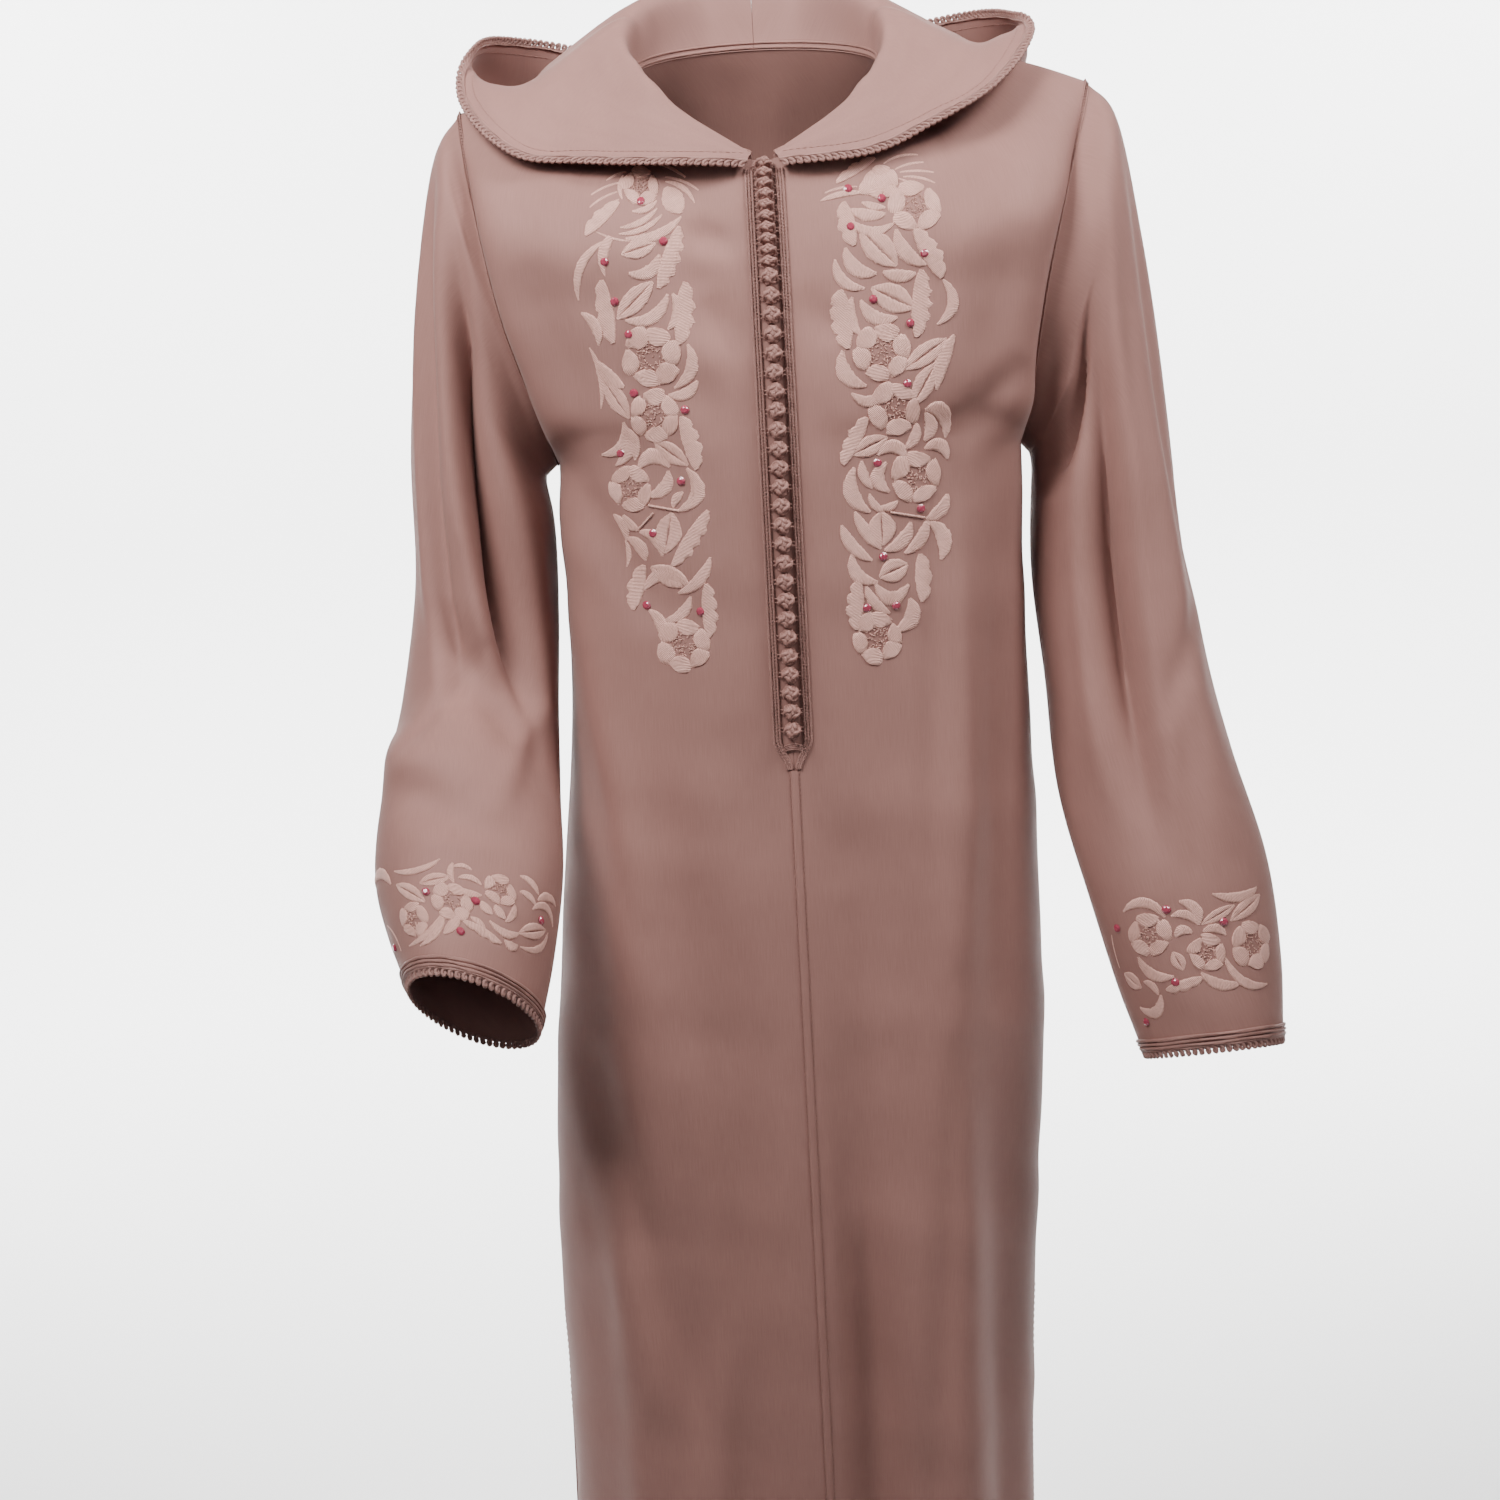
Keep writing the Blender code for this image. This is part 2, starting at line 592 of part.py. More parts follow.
def wall(name, outer, inner, colour, collection, closed=False):
    """A closed wall between an outer and an inner grid of points."""
    rows, columns = outer.shape[:2]
    verts = np.concatenate((outer.reshape(-1, 3), inner.reshape(-1, 3)))
    shift = rows * columns

    def number(row, column):
        return row * columns + column % columns

    faces = []
    for row in range(rows - 1):
        for column in range(columns if closed else columns - 1):
            a = number(row, column)
            b = number(row + 1, column)
            c = number(row + 1, column + 1)
            d = number(row, column + 1)
            if np.linalg.norm(verts[a] - verts[c]) < np.linalg.norm(verts[b] - verts[d]):
                halves = ((a, b, c), (a, c, d))
            else:
                halves = ((a, b, d), (b, c, d))
            for half in halves:
                faces.append(half)
                faces.append(tuple(shift + v for v in reversed(half)))
    border = []
    if closed:
        for row in (0, rows - 1):
            border += [(number(row, c), number(row, c + 1)) for c in range(columns)]
    else:
        for row in (0, rows - 1):
            border += [(number(row, c), number(row, c + 1)) for c in range(columns - 1)]
        for column in (0, columns - 1):
            border += [(number(r, column), number(r + 1, column)) for r in range(rows - 1)]
    for a, b in border:
        faces.append((a, b, shift + b, shift + a))
    return make_object(name, verts, faces, colour, collection)


def cloth_wall(name, grid, inward, colour, collection, closed=False):
    """A wall of cloth on a grid of outer points."""
    return wall(name, grid, grid + inward * CLOTH, colour, collection, closed)


def along_row(points, distance):
    """The point at a distance along a row, with the row's direction there."""
    left = distance
    for start, end in zip(points[:-1], points[1:]):
        length = np.linalg.norm(end - start)
        if left <= length:
            way = (end - start) / length
            return start + way * left, way
        left -= length
    return points[-1], unit(points[-1] - points[-2])


def middle_path(grid):
    """Distance down the middle front from the neckline, at each row."""
    lengths = np.linalg.norm(np.diff(grid[:, 0], axis=0), axis=1)
    return np.concatenate(([0.0], np.cumsum(lengths)))


def at_distance(values, path, distance):
    """Values given at each row, read at a distance down the middle front."""
    return np.array([np.interp(distance, path, values[:, axis]) for axis in range(3)])


def braid(side, grid, inward, collection):
    """The flat braid beside the buttons; its lower end turns in to a point."""
    path = middle_path(grid)
    marks = [d for d in path if BRAID_START < d < BRAID_END - BRAID_POINT]
    marks = [BRAID_START] + marks + [BRAID_END - BRAID_POINT, BRAID_END]
    outer = []
    inner = []
    for mark in marks:
        closing = smooth((mark - BRAID_END + BRAID_POINT) / BRAID_POINT)
        start = BRAID_INNER + (BRAID_CLOSED - BRAID_INNER) * closing
        width = BRAID_WIDTH * (1 - BRAID_NARROWING * closing)
        row_points = np.array([at_distance(grid[:, column], path, mark)
                               for column in range(BRAID_COLUMNS)])
        inside = unit(at_distance(inward[:, 0], path, mark))
        near, _ = along_row(row_points, start)
        far, _ = along_row(row_points, start + width)
        low = [p - inside * TRIM_LIFT for p in (near, far)]
        outer.append([p - inside * BRAID_THICK for p in low])
        inner.append(low)
    wall("sfifa_" + side_name(side), np.array(outer), np.array(inner), "braid", collection)


def front_tuck(grids, inward, collection):
    """The narrow stitched tuck over the middle seam, from the slit to the hem."""
    path = middle_path(grids[RIGHT])
    marks = [TUCK_START] + [d for d in path if d > TUCK_NEXT]
    outer = []
    inner = []
    for mark in marks:
        inside = unit(at_distance(inward[:, 0], path, mark))
        rows = {side: np.array([at_distance(grids[side][:, c], path, mark) for c in range(2)])
                for side in (RIGHT, LEFT)}
        edges = [along_row(rows[side], 0.5 * TUCK_WIDTH)[0] for side in (RIGHT, LEFT)]
        middle = 0.5 * (rows[RIGHT][0] + rows[LEFT][0])
        low = [p - inside * TRIM_LIFT for p in (edges[0], middle, edges[1])]
        outer.append([p - inside * TUCK_THICK for p in low])
        inner.append(low)
    wall("front_tuck", np.array(outer), np.array(inner), "cloth", collection)


def button_marks():
    """Each button's distance from the neckline, and its half height."""
    squeezed = [FIRST_BUTTON + i * SQUEEZED_PITCH for i in range(SQUEEZED_BUTTONS)]
    free = BUTTON_COUNT - SQUEEZED_BUTTONS
    start = squeezed[-1] + SQUEEZED_HALF_HEIGHT + BUTTON_RADIUS + 2 * SEAM_GAP
    marks = [(mark, SQUEEZED_HALF_HEIGHT) for mark in squeezed]
    marks += [(mark, BUTTON_RADIUS) for mark in np.linspace(start, LAST_BUTTON, free)]
    return marks


def buttons(grid, inward, collection):
    """The row of knotted ball buttons down the slit."""
    path = middle_path(grid)
    for number, (mark, half_height) in enumerate(button_marks(), 1):
        spot = at_distance(grid[:, 0], path, mark)
        spot[0] = 0.0
        inside = unit(at_distance(inward[:, 0], path, mark))
        centre = spot - inside * (BUTTON_RADIUS + TRIM_LIFT)
        down = unit(np.cross(inside, (1.0, 0.0, 0.0)))
        shape = bmesh.new()
        bmesh.ops.create_uvsphere(shape, u_segments=BUTTON_SEGMENTS, v_segments=BUTTON_RINGS,
                                  radius=1.0)
        for vert in shape.verts:
            x, y, z = vert.co
            vert.co = (centre + np.array((1.0, 0.0, 0.0)) * x * BUTTON_RADIUS
                       + inside * y * BUTTON_RADIUS + down * z * half_height)
        verts = [tuple(v.co) for v in shape.verts]
        faces = [tuple(v.index for v in f.verts) for f in shape.faces]
        shape.free()
        make_object(f"aakad_{number:02d}", verts, faces, "braid", collection)


def edge_trim(name, grid, inward, collection, closed=False):
    """A loop trim just past the last row of a wall."""
    away = ease(unit(grid[-1] - grid[-2]), closed)
    across = inward[-1]
    proud = 0.5 * (LOOP_THICK - CLOTH)
    near = grid[-1] + away * SEAM_GAP
    far = grid[-1] + away * (SEAM_GAP + LOOP_DEEP)
    outer = np.array((near, far)) - across * proud
    inner = outer + across * LOOP_THICK
    wall(name, outer, inner, "braid", collection, closed)


def cuff_band(name, grid, inward, collection):
    """A flat band round the outside of the cuff, beside its edge."""
    lift = -inward[-1] * TRIM_LIFT
    up = unit(grid[-2] - grid[-1])
    edge = grid[-1] + up * CUFF_BAND_INSET
    low = np.array((edge + lift, edge + up * CUFF_BAND_WIDTH + lift))
    outer = low - inward[-1] * CUFF_BAND_THICK
    wall(name, outer, low, "braid", collection, closed=True)


def main():
    """Build every piece of the robe."""
    for item in list(bpy.data.objects):
        bpy.data.objects.remove(item)
    robe = bpy.data.collections.new("djellaba_robe")
    bpy.context.scene.collection.children.link(robe)

    grids = {}
    inwards = {}
    for side in (RIGHT, LEFT):
        grids[side], inwards[side] = half_panel("front", side)
        cloth_wall("front_" + side_name(side), grids[side], inwards[side], "cloth", robe)
    cloth_wall("back", *whole_back(), "cloth", robe)

    for side in (RIGHT, LEFT):
        grid, inward = sleeve_grid(side)
        cloth_wall("sleeve_" + side_name(side), grid, inward, "cloth", robe, closed=True)
        cuff_band("cuff_band_" + side_name(side), grid, inward, robe)
        edge_trim("cuff_loops_" + side_name(side), grid, inward, robe, closed=True)
        grid, inward = hood_grid(side)
        cloth_wall("hood_" + side_name(side), grid, inward, "hood", robe)
        edge_trim("hood_loops_" + side_name(side), grid, inward, robe)

    for side in (RIGHT, LEFT):
        braid(side, grids[side], inwards[side], robe)
    front_tuck(grids, inwards[RIGHT], robe)
    buttons(grids[RIGHT], inwards[RIGHT], robe)


main()
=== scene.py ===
"""Djellaba robe: the cloth, trims, knots and embroidery, built on its solids.

Metres, +Z up. The robe faces -Y and the wearer's left is +X. Charts of the
embroidery are in millimetres.
"""
import math

import bpy
import numpy as np
from mathutils import Euler, Matrix, Vector
from mathutils.bvhtree import BVHTree


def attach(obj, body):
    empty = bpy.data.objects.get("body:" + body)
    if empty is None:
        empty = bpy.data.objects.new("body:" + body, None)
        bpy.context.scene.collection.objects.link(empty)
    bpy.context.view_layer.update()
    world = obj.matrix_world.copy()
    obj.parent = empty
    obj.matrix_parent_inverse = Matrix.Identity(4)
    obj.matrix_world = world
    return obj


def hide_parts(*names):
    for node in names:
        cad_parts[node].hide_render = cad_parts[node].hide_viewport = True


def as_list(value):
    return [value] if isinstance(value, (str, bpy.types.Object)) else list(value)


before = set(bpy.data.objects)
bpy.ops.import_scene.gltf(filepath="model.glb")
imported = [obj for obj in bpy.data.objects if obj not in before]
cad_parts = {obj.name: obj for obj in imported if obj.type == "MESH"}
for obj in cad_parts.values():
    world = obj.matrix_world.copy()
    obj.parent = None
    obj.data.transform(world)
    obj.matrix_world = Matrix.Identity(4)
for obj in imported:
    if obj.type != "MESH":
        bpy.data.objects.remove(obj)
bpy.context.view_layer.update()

RIGHT = -1
LEFT = 1
SIDE_NAMES = {RIGHT: "right", LEFT: "left"}
MM = 0.001

# Cloth
CLOTH_THICK = 0.0009
HOOD_THICK = 0.0013
SEAM_GAP = 0.0003

# Neckline, an oval that dips at the front
NECK_HALF_WIDTH = 0.082
NECK_SIDE_Y = 0.005
NECK_FRONT_REACH = 0.093
NECK_BACK_REACH = 0.057
NECK_FRONT_Z = -0.067
NECK_SIDE_Z = 0.000
NECK_BACK_Z = 0.018
NECK_CURVE = 0.65
NECK_SHARE = 0.45
NECK_LEAN = 0.8
SHOULDER_TIP = {RIGHT: 0.200, LEFT: 0.220}
SHOULDER_TIP_Z = -0.020
SHOULDER_ARCH = {RIGHT: 0.003, LEFT: 0.011}
SHOULDER_TIP_TURN = 0.2
SHOULDER_NECK_TURN = 0.1

# Front and back panels: one row for each section below the top edge
FRONT_SECTIONS = (
    # name        right  left   side_y  side_z  mid_y   mid_z
    ("yoke",      0.190, 0.200, -0.045, -0.085, -0.104, -0.105),
    ("chest",     0.176, 0.181, -0.062, -0.155, -0.116, -0.155),
    ("bust",      0.157, 0.171, -0.045, -0.220, -0.124, -0.215),
    ("underarm",  0.148, 0.166, 0.000, -0.256, -0.127, -0.262),
    ("waist",     0.150, 0.166, 0.000, -0.420, -0.130, -0.420),
    ("hip",       0.167, 0.170, 0.000, -0.580, -0.138, -0.580),
    ("thigh",     0.181, 0.164, 0.000, -0.760, -0.144, -0.760),
    ("knee",      0.186, 0.154, 0.000, -1.030, -0.150, -1.030),
    ("hem",       0.198, 0.168, 0.000, -1.400, -0.162, -1.400),
)
BACK_SECTIONS = (
    # name        right  left   side_y  side_z  mid_y   mid_z
    ("yoke",      0.190, 0.200, 0.050, -0.085, 0.090, -0.055),
    ("chest",     0.176, 0.181, 0.068, -0.155, 0.104, -0.130),
    ("bust",      0.157, 0.171, 0.045, -0.220, 0.108, -0.200),
    ("underarm",  0.148, 0.166, 0.000, -0.256, 0.106, -0.262),
    ("waist",     0.150, 0.166, 0.000, -0.420, 0.100, -0.420),
    ("hip",       0.167, 0.170, 0.000, -0.580, 0.113, -0.580),
    ("thigh",     0.181, 0.164, 0.000, -0.760, 0.123, -0.760),
    ("knee",      0.186, 0.154, 0.000, -1.030, 0.132, -1.030),
    ("hem",       0.198, 0.168, 0.000, -1.400, 0.148, -1.400),
)
FLATNESS = 0.75
ARMHOLE_SECTIONS = 4
UNDERARM_Z = -0.256
HEM_Z = -1.400
ARMHOLE_MIDDLE_OUT = 0.11
ARMHOLE_MIDDLE_Z = -0.15
SIDE_SEAM_TURN = 0.05
FOLD_FREE_EDGE = 0.14

# Fineness of the cloth's grids
ARMHOLE_ROWS = 54
SKIRT_ROWS = 130
NECK_COLUMNS = 24
SHOULDER_COLUMNS = 36
SLEEVE_ROWS = 150
HOOD_FRONT_COLUMNS = 22
HOOD_BACK_COLUMNS = 36
HOOD_ROWS = 64

# Hanging folds of the panels: x at the top and at the hem, where the fold
# starts and where it is fully open, its half width, and how far it stands out
PANEL_FOLDS = {
    "front": (
        # x_top   x_hem   starts  opens   half   depth
        (-0.112, -0.118, -0.200, -0.850, 0.022, 0.014),
        (-0.056, -0.060, -0.400, -0.950, 0.025, -0.012),
        (0.040, 0.030, -0.420, -0.900, 0.021, -0.018),
        (0.098, 0.078, -0.200, -0.850, 0.022, 0.014),
        (0.135, 0.125, -0.500, -1.000, 0.017, -0.009),
        (-0.090, -0.086, -0.350, -0.950, 0.009, -0.0045),
        (-0.020, -0.028, -0.500, -1.000, 0.012, 0.0035),
        (0.064, 0.052, -0.420, -0.950, 0.008, 0.0040),
    ),
    "back": (
        (-0.125, -0.135, -0.300, -1.000, 0.025, 0.013),
        (-0.070, -0.080, -0.260, -1.000, 0.023, -0.015),
        (-0.020, -0.015, -0.350, -1.050, 0.025, 0.013),
        (0.045, 0.040, -0.260, -0.950, 0.023, -0.016),
        (0.105, 0.100, -0.300, -1.000, 0.025, 0.014),
        (-0.098, -0.110, -0.500, -1.000, 0.009, -0.0040),
        (0.075, 0.068, -0.450, -1.000, 0.010, 0.0040),
        (0.010, 0.014, -0.600, -1.050, 0.009, -0.0035),
    ),
}

# Soft creases of the panels, each along a line on the front or back
PANEL_CREASES = {
    "front": (
        # x_1     z_1     x_2     z_2     half   depth
        (-0.150, -0.240, -0.075, -0.360, 0.014, -0.0045),
        (-0.142, -0.300, -0.104, -0.560, 0.013, 0.0045),
        (-0.040, -0.150, -0.014, -0.190, 0.012, -0.0035),
        (-0.052, -0.105, -0.016, -0.122, 0.009, -0.0042),
        (-0.050, -0.175, -0.016, -0.225, 0.015, 0.0030),
        (0.014, -0.150, 0.044, -0.182, 0.012, -0.0032),
        (0.016, -0.190, 0.048, -0.240, 0.015, 0.0028),
        (0.112, -0.250, 0.166, -0.200, 0.011, -0.0055),
        (0.116, -0.285, 0.104, -0.600, 0.010, 0.0055),
        (0.150, -0.290, 0.130, -0.640, 0.013, -0.0060),
        (-0.156, -0.120, -0.120, -0.240, 0.018, -0.0035),
        (0.160, -0.110, 0.130, -0.240, 0.018, -0.0035),
        (-0.080, -0.520, -0.028, -0.820, 0.022, -0.0045),
        (-0.045, -0.420, 0.020, -0.540, 0.022, -0.0028),
        (0.020, -0.560, 0.066, -0.930, 0.016, 0.0040),
        (-0.145, -0.640, -0.085, -0.900, 0.013, -0.0055),
        (-0.055, -0.800, -0.110, -1.120, 0.014, 0.0045),
        (0.100, -0.640, 0.070, -1.000, 0.010, -0.0040),
    ),
    "back": (
        (-0.120, -0.130, -0.060, -0.300, 0.017, -0.0045),
        (0.125, -0.130, 0.070, -0.290, 0.017, -0.0045),
        (-0.140, -0.270, -0.060, -0.420, 0.013, -0.0045),
        (0.150, -0.270, 0.060, -0.430, 0.013, -0.0045),
        (-0.040, -0.380, 0.050, -0.400, 0.017, 0.0032),
        (0.020, -0.460, 0.080, -0.760, 0.015, 0.0042),
        (-0.100, -0.500, -0.050, -0.800, 0.015, 0.0040),
    ),
}
WAVE_BEND = 1.3
WAVES = (
    # per_metre_x per_metre_z phase  height
    (5.0,  1.3, 0.4, 0.0010),
    (9.0,  2.1, 1.9, 0.0007),
    (16.0, 3.0, 4.1, 0.0004),
    (3.0,  7.0, 2.6, 0.0006),
    (23.0, 5.0, 5.3, 0.0002),
)

# Side slits, from thigh level to the hem
SLIT_TOP_Z = -0.860
SLIT_FRONT_INSET = 0.020
SLIT_BACK_INSET = 0.004
SLIT_SHARE = 0.3
SLIT_PULL_IN = 0.35
SLIT_CURVE = 0.8

# Sleeves: one row for each ring after the armhole
SLEEVE_RINGS = {
    RIGHT: (
        # name       out    fore   z       wide   deep   slant  pitch
        ("crown",    0.187, 0.000, -0.155, 0.111, 0.065, 74.0, 0.0),
        ("cap",      0.196, 0.000, -0.197, 0.080, 0.067, 62.0, 0.0),
        ("biceps",   0.201, 0.002, -0.268, 0.055, 0.072, 30.0, 0.0),
        ("arm",      0.204, 0.010, -0.345, 0.050, 0.070, 10.0, 5.0),
        ("elbow",    0.209, 0.034, -0.415, 0.053, 0.066, 4.0, 22.0),
        ("forearm",  0.215, 0.085, -0.468, 0.058, 0.061, 4.0, 40.0),
        ("band_top", 0.215, 0.133, -0.515, 0.060, 0.055, 5.0, 43.0),
        ("band_low", 0.213, 0.168, -0.553, 0.053, 0.050, 12.0, 43.0),
        ("cuff",     0.211, 0.192, -0.583, 0.044, 0.047, 18.0, 42.0),
    ),
    LEFT: (
        ("crown",    0.206, 0.000, -0.154, 0.113, 0.065, 73.0, 0.0),
        ("cap",      0.215, 0.000, -0.197, 0.081, 0.067, 61.0, 0.0),
        ("biceps",   0.221, 0.004, -0.266, 0.053, 0.072, 28.0, 0.0),
        ("arm",      0.225, 0.012, -0.342, 0.053, 0.070, 9.0, 4.0),
        ("elbow",    0.231, 0.030, -0.415, 0.055, 0.066, 6.0, 12.0),
        ("forearm",  0.240, 0.055, -0.480, 0.059, 0.061, 8.0, 18.0),
        ("band_top", 0.255, 0.080, -0.548, 0.060, 0.055, 8.0, 18.0),
        ("band_low", 0.266, 0.097, -0.614, 0.055, 0.051, 6.0, 17.0),
        ("cuff",     0.272, 0.109, -0.659, 0.047, 0.047, 4.0, 16.0),
    ),
}

# Sleeve folds: ring numbers where each starts and ends, its angle round the
# arm there (0 outside, 90 in front), half width in degrees, and depth
SLEEVE_FOLDS = {
    RIGHT: (
        # from  to    angle_1  angle_2  half   depth
        (1.4,   5.2,  75.0,    128.0,   22.0, -0.012),
        (2.0,   5.8,  118.0,   150.0,   20.0, 0.008),
        (4.0,   6.2,  60.0,    150.0,   22.0, -0.010),
        (1.8,   5.5,  -60.0,   -100.0,  24.0, -0.008),
        (0.8,   5.4,  62.0,    138.0,   12.0, -0.0200),
        (0.6,   5.4,  40.0,    112.0,   10.0, 0.0090),
        (1.0,   5.6,  22.0,    86.0,    8.0,  -0.0100),
        (0.8,   5.6,  8.0,     72.0,    9.0,  0.0045),
        (3.2,   6.0,  100.0,   152.0,   9.0,  -0.0070),
        (4.4,   6.2,  100.0,   40.0,    9.0,  -0.0030),
        (6.1,   7.1,  50.0,    100.0,   26.0, -0.0060),
        (5.4,   6.4,  20.0,    60.0,    22.0, 0.0045),
        (5.0,   6.8,  150.0,   110.0,   10.0, 0.0040),
        (0.6,   3.0,  60.0,    84.0,    9.0,  0.0032),
        (2.4,   5.0,  -120.0,  -60.0,   9.0,  -0.0045),
        (4.2,   6.4,  -40.0,   -110.0,  10.0, -0.0040),
    ),
    LEFT: (
        (2.0,   7.2,  92.0,    104.0,   20.0, -0.013),
        (2.2,   7.0,  50.0,    62.0,    22.0, 0.008),
        (1.6,   3.2,  120.0,   150.0,   18.0, -0.011),
        (1.8,   6.0,  -70.0,   -110.0,  24.0, -0.008),
        (1.2,   2.8,  94.0,    142.0,   8.0,  -0.0130),
        (1.4,   7.0,  98.0,    110.0,   11.0, -0.0140),
        (1.4,   7.0,  74.0,    86.0,    9.0,  0.0060),
        (2.6,   6.6,  120.0,   130.0,   9.0,  0.0050),
        (1.0,   5.0,  28.0,    44.0,    9.0,  -0.0045),
        (3.4,   4.6,  6.0,     34.0,    9.0,  -0.0045),
        (4.4,   5.8,  40.0,    84.0,    11.0, -0.0035),
        (0.6,   3.0,  60.0,    84.0,    9.0,  0.0032),
        (5.4,   7.4,  60.0,    96.0,    10.0, -0.0034),
        (2.4,   5.0,  -120.0,  -60.0,   9.0,  -0.0045),
        (4.2,   6.4,  -40.0,   -110.0,  10.0, -0.0040),
    ),
}
SLEEVE_WAVE_FADE = 0.8
SLEEVE_WAVES = (
    # along  turns  phase  height
    (1.1,    2,     0.3,   0.0008),
    (2.3,    3,     2.0,   0.0006),
    (3.1,    5,     4.4,   0.0004),
)

# Hood, thrown back: one row for each section, from the front end of the
# neckline to the middle of the back
HOOD_SECTIONS = {
    RIGHT: (
        # angle heading ridge_out ridge_z bottom_out bottom_z rim_out rim_z
        (5.0,   35.0,   0.001,   -0.0625, 0.004,    -0.0640,  0.006, -0.0665),
        (28.0,  66.0,   0.003,   -0.040,  0.020,    -0.050,   0.034, -0.062),
        (50.0,  68.0,   0.004,   -0.018,  0.032,    -0.038,   0.056, -0.058),
        (70.0,  66.0,   0.004,   0.006,   0.050,    -0.030,   0.088, -0.051),
        (90.0,  82.0,   0.006,   0.027,   0.072,    -0.004,   0.112, -0.013),
        (110.0, 100.0,  0.008,   0.042,   0.090,    -0.020,   0.116, 0.026),
        (132.0, 124.0,  0.012,   0.052,   0.096,    -0.080,   0.122, 0.034),
        (155.0, 146.0,  0.014,   0.058,   0.076,    -0.185,   0.098, 0.020),
        (180.0, 180.0,  0.016,   0.060,   0.062,    -0.270,   0.086, 0.004),
    ),
    LEFT: (
        (5.0,   35.0,   0.001,   -0.0625, 0.004,    -0.0640,  0.006, -0.0665),
        (28.0,  66.0,   0.003,   -0.042,  0.018,    -0.050,   0.030, -0.062),
        (50.0,  68.0,   0.004,   -0.022,  0.030,    -0.036,   0.050, -0.045),
        (70.0,  68.0,   0.004,   0.000,   0.044,    -0.018,   0.078, -0.024),
        (90.0,  82.0,   0.005,   0.026,   0.064,    0.007,    0.098, 0.010),
        (110.0, 100.0,  0.008,   0.040,   0.084,    -0.006,   0.104, 0.028),
        (132.0, 124.0,  0.012,   0.052,   0.094,    -0.080,   0.112, 0.036),
        (155.0, 146.0,  0.014,   0.058,   0.074,    -0.185,   0.092, 0.026),
        (180.0, 180.0,  0.016,   0.060,   0.062,    -0.270,   0.086, 0.004),
    ),
}
HOOD_START_ANGLE = 5.0
HOOD_SEAM_GAP = 0.0004
POUCH_START_ANGLE = 85.0
POUCH_FULL_ANGLE = 130.0
POUCH_FALL = 0.30
POUCH_SWELL = 0.55
POUCH_OUTER = 0.018
HOOD_WAVE_FADE_TOP = 0.2
HOOD_WAVE_FADE_EDGE = 0.12
HOOD_WAVE_START = 0.5
HOOD_WAVE_FADE_FRONT = 0.8
HOOD_WAVE_FADE_BACK = 0.3
HOOD_WAVES = (
    # around  down   phase  height
    (2.2,     0.6,   0.5,   0.0022),
    (4.1,     1.3,   2.2,   0.0015),
    (7.3,     0.9,   4.0,   0.0009),
    (11.0,    2.6,   1.1,   0.0005),
)

# Front fastening
BUTTON_RADIUS = 0.0055
BUTTON_COUNT = 35
SQUEEZED_BUTTONS = 10
SQUEEZED_PITCH = 0.0072
SQUEEZED_HALF_HEIGHT = 0.0033
FIRST_BUTTON = 0.004
LAST_BUTTON = 0.366
BRAID_INNER = 0.0068
BRAID_WIDTH = 0.0060
BRAID_POINT = 0.020
BRAID_CLOSED = 0.0008
BRAID_NARROWING = 0.35
BRAID_START = 0.008
BRAID_END = 0.392

# Creases, seams and stitches
CREASE_FADE = 0.7
CREASE_LIP = 0.45
CREASE_LIP_AWAY = 1.7
SEAM_HOLD = 0.07
TOP_HOLD = 0.45
FRONT_EDGE_HOLD = 0.14
SHARP_ANGLE = 60.0
STITCH_SHARES = (0.0, 0.15, 0.5, 0.85, 1.0)
STITCH_FULLNESS = (0.35, 0.85, 1.0, 0.85, 0.35)
STITCH_ROUND = 0.0004

# Shades
CLOTH_SHADE = (0.285, 0.145, 0.125, 1.0)
CLOTH_DARK = (0.160, 0.078, 0.066, 1.0)
# Hood: the robe cloth's colours made a little lighter, as painted light for the hood, which sits high
# and takes more light
HOOD_SHADE_PAINTED_LIGHTER = (0.300, 0.155, 0.135, 1.0)
HOOD_DARK_PAINTED_LIGHTER = (0.175, 0.086, 0.073, 1.0)
# The dark colours of the threads and the satin also give their painted shade, in the grooves between
# fibres and threads
BRAID_SHADE = (0.315, 0.162, 0.140, 1.0)
BRAID_DARK = (0.105, 0.050, 0.042, 1.0)
LOOP_SHADE = (0.320, 0.172, 0.150, 1.0)
LOOP_DARK = (0.150, 0.074, 0.063, 1.0)
KNOT_SHADE = (0.310, 0.158, 0.136, 1.0)
KNOT_DARK = (0.125, 0.060, 0.050, 1.0)
SEAM_SHADE = (0.300, 0.152, 0.130, 1.0)
SEAM_DARK = (0.150, 0.072, 0.060, 1.0)
SATIN_SHADE = (0.760, 0.430, 0.365, 1.0)
SATIN_DARK = (0.340, 0.170, 0.138, 1.0)

# Studio
FLOOR_Z = -1.52
FLOOR_STEPS = 12
FLOOR_REACH = 5.0
FLOOR_HALF = 8.0
COVE_START = 3.7
COVE_RADIUS = 0.9
COVE_TOP = 5.0
WARM_LIGHT = (1.0, 0.98, 0.96)
WHITE_LIGHT = (1.0, 1.0, 1.0)
LIGHTS = (
    # name         place                 aim                 size        spread  power  colour
    ("key_left", (-0.85, -0.95, 1.05), (-0.2, 0.0, 0.05), (0.8, 0.8), 85.0, 15.5, WARM_LIGHT),
    ("key_right", (1.05, -0.60, 1.00), (0.2, 0.0, 0.05), (0.6, 0.6), 85.0, 9.0, WARM_LIGHT),
    ("front_fill", (0.1, -2.60, 0.80), (0.0, 0.0, -0.30), (1.2, 1.2), 60.0, 0.8, WARM_LIGHT),
    ("back_left", (-2.3, 2.3, 1.7), (-1.1, 4.5, -0.5), (3.0, 2.0), 150.0, 420.0, WHITE_LIGHT),
    ("back_right", (2.3, 2.3, 1.7), (1.1, 4.5, -0.5), (3.0, 2.0), 150.0, 420.0, WHITE_LIGHT),
)
ROOM_COLOUR = (1.0, 0.99, 0.985, 1.0)
ROOM_LIGHT = 0.15

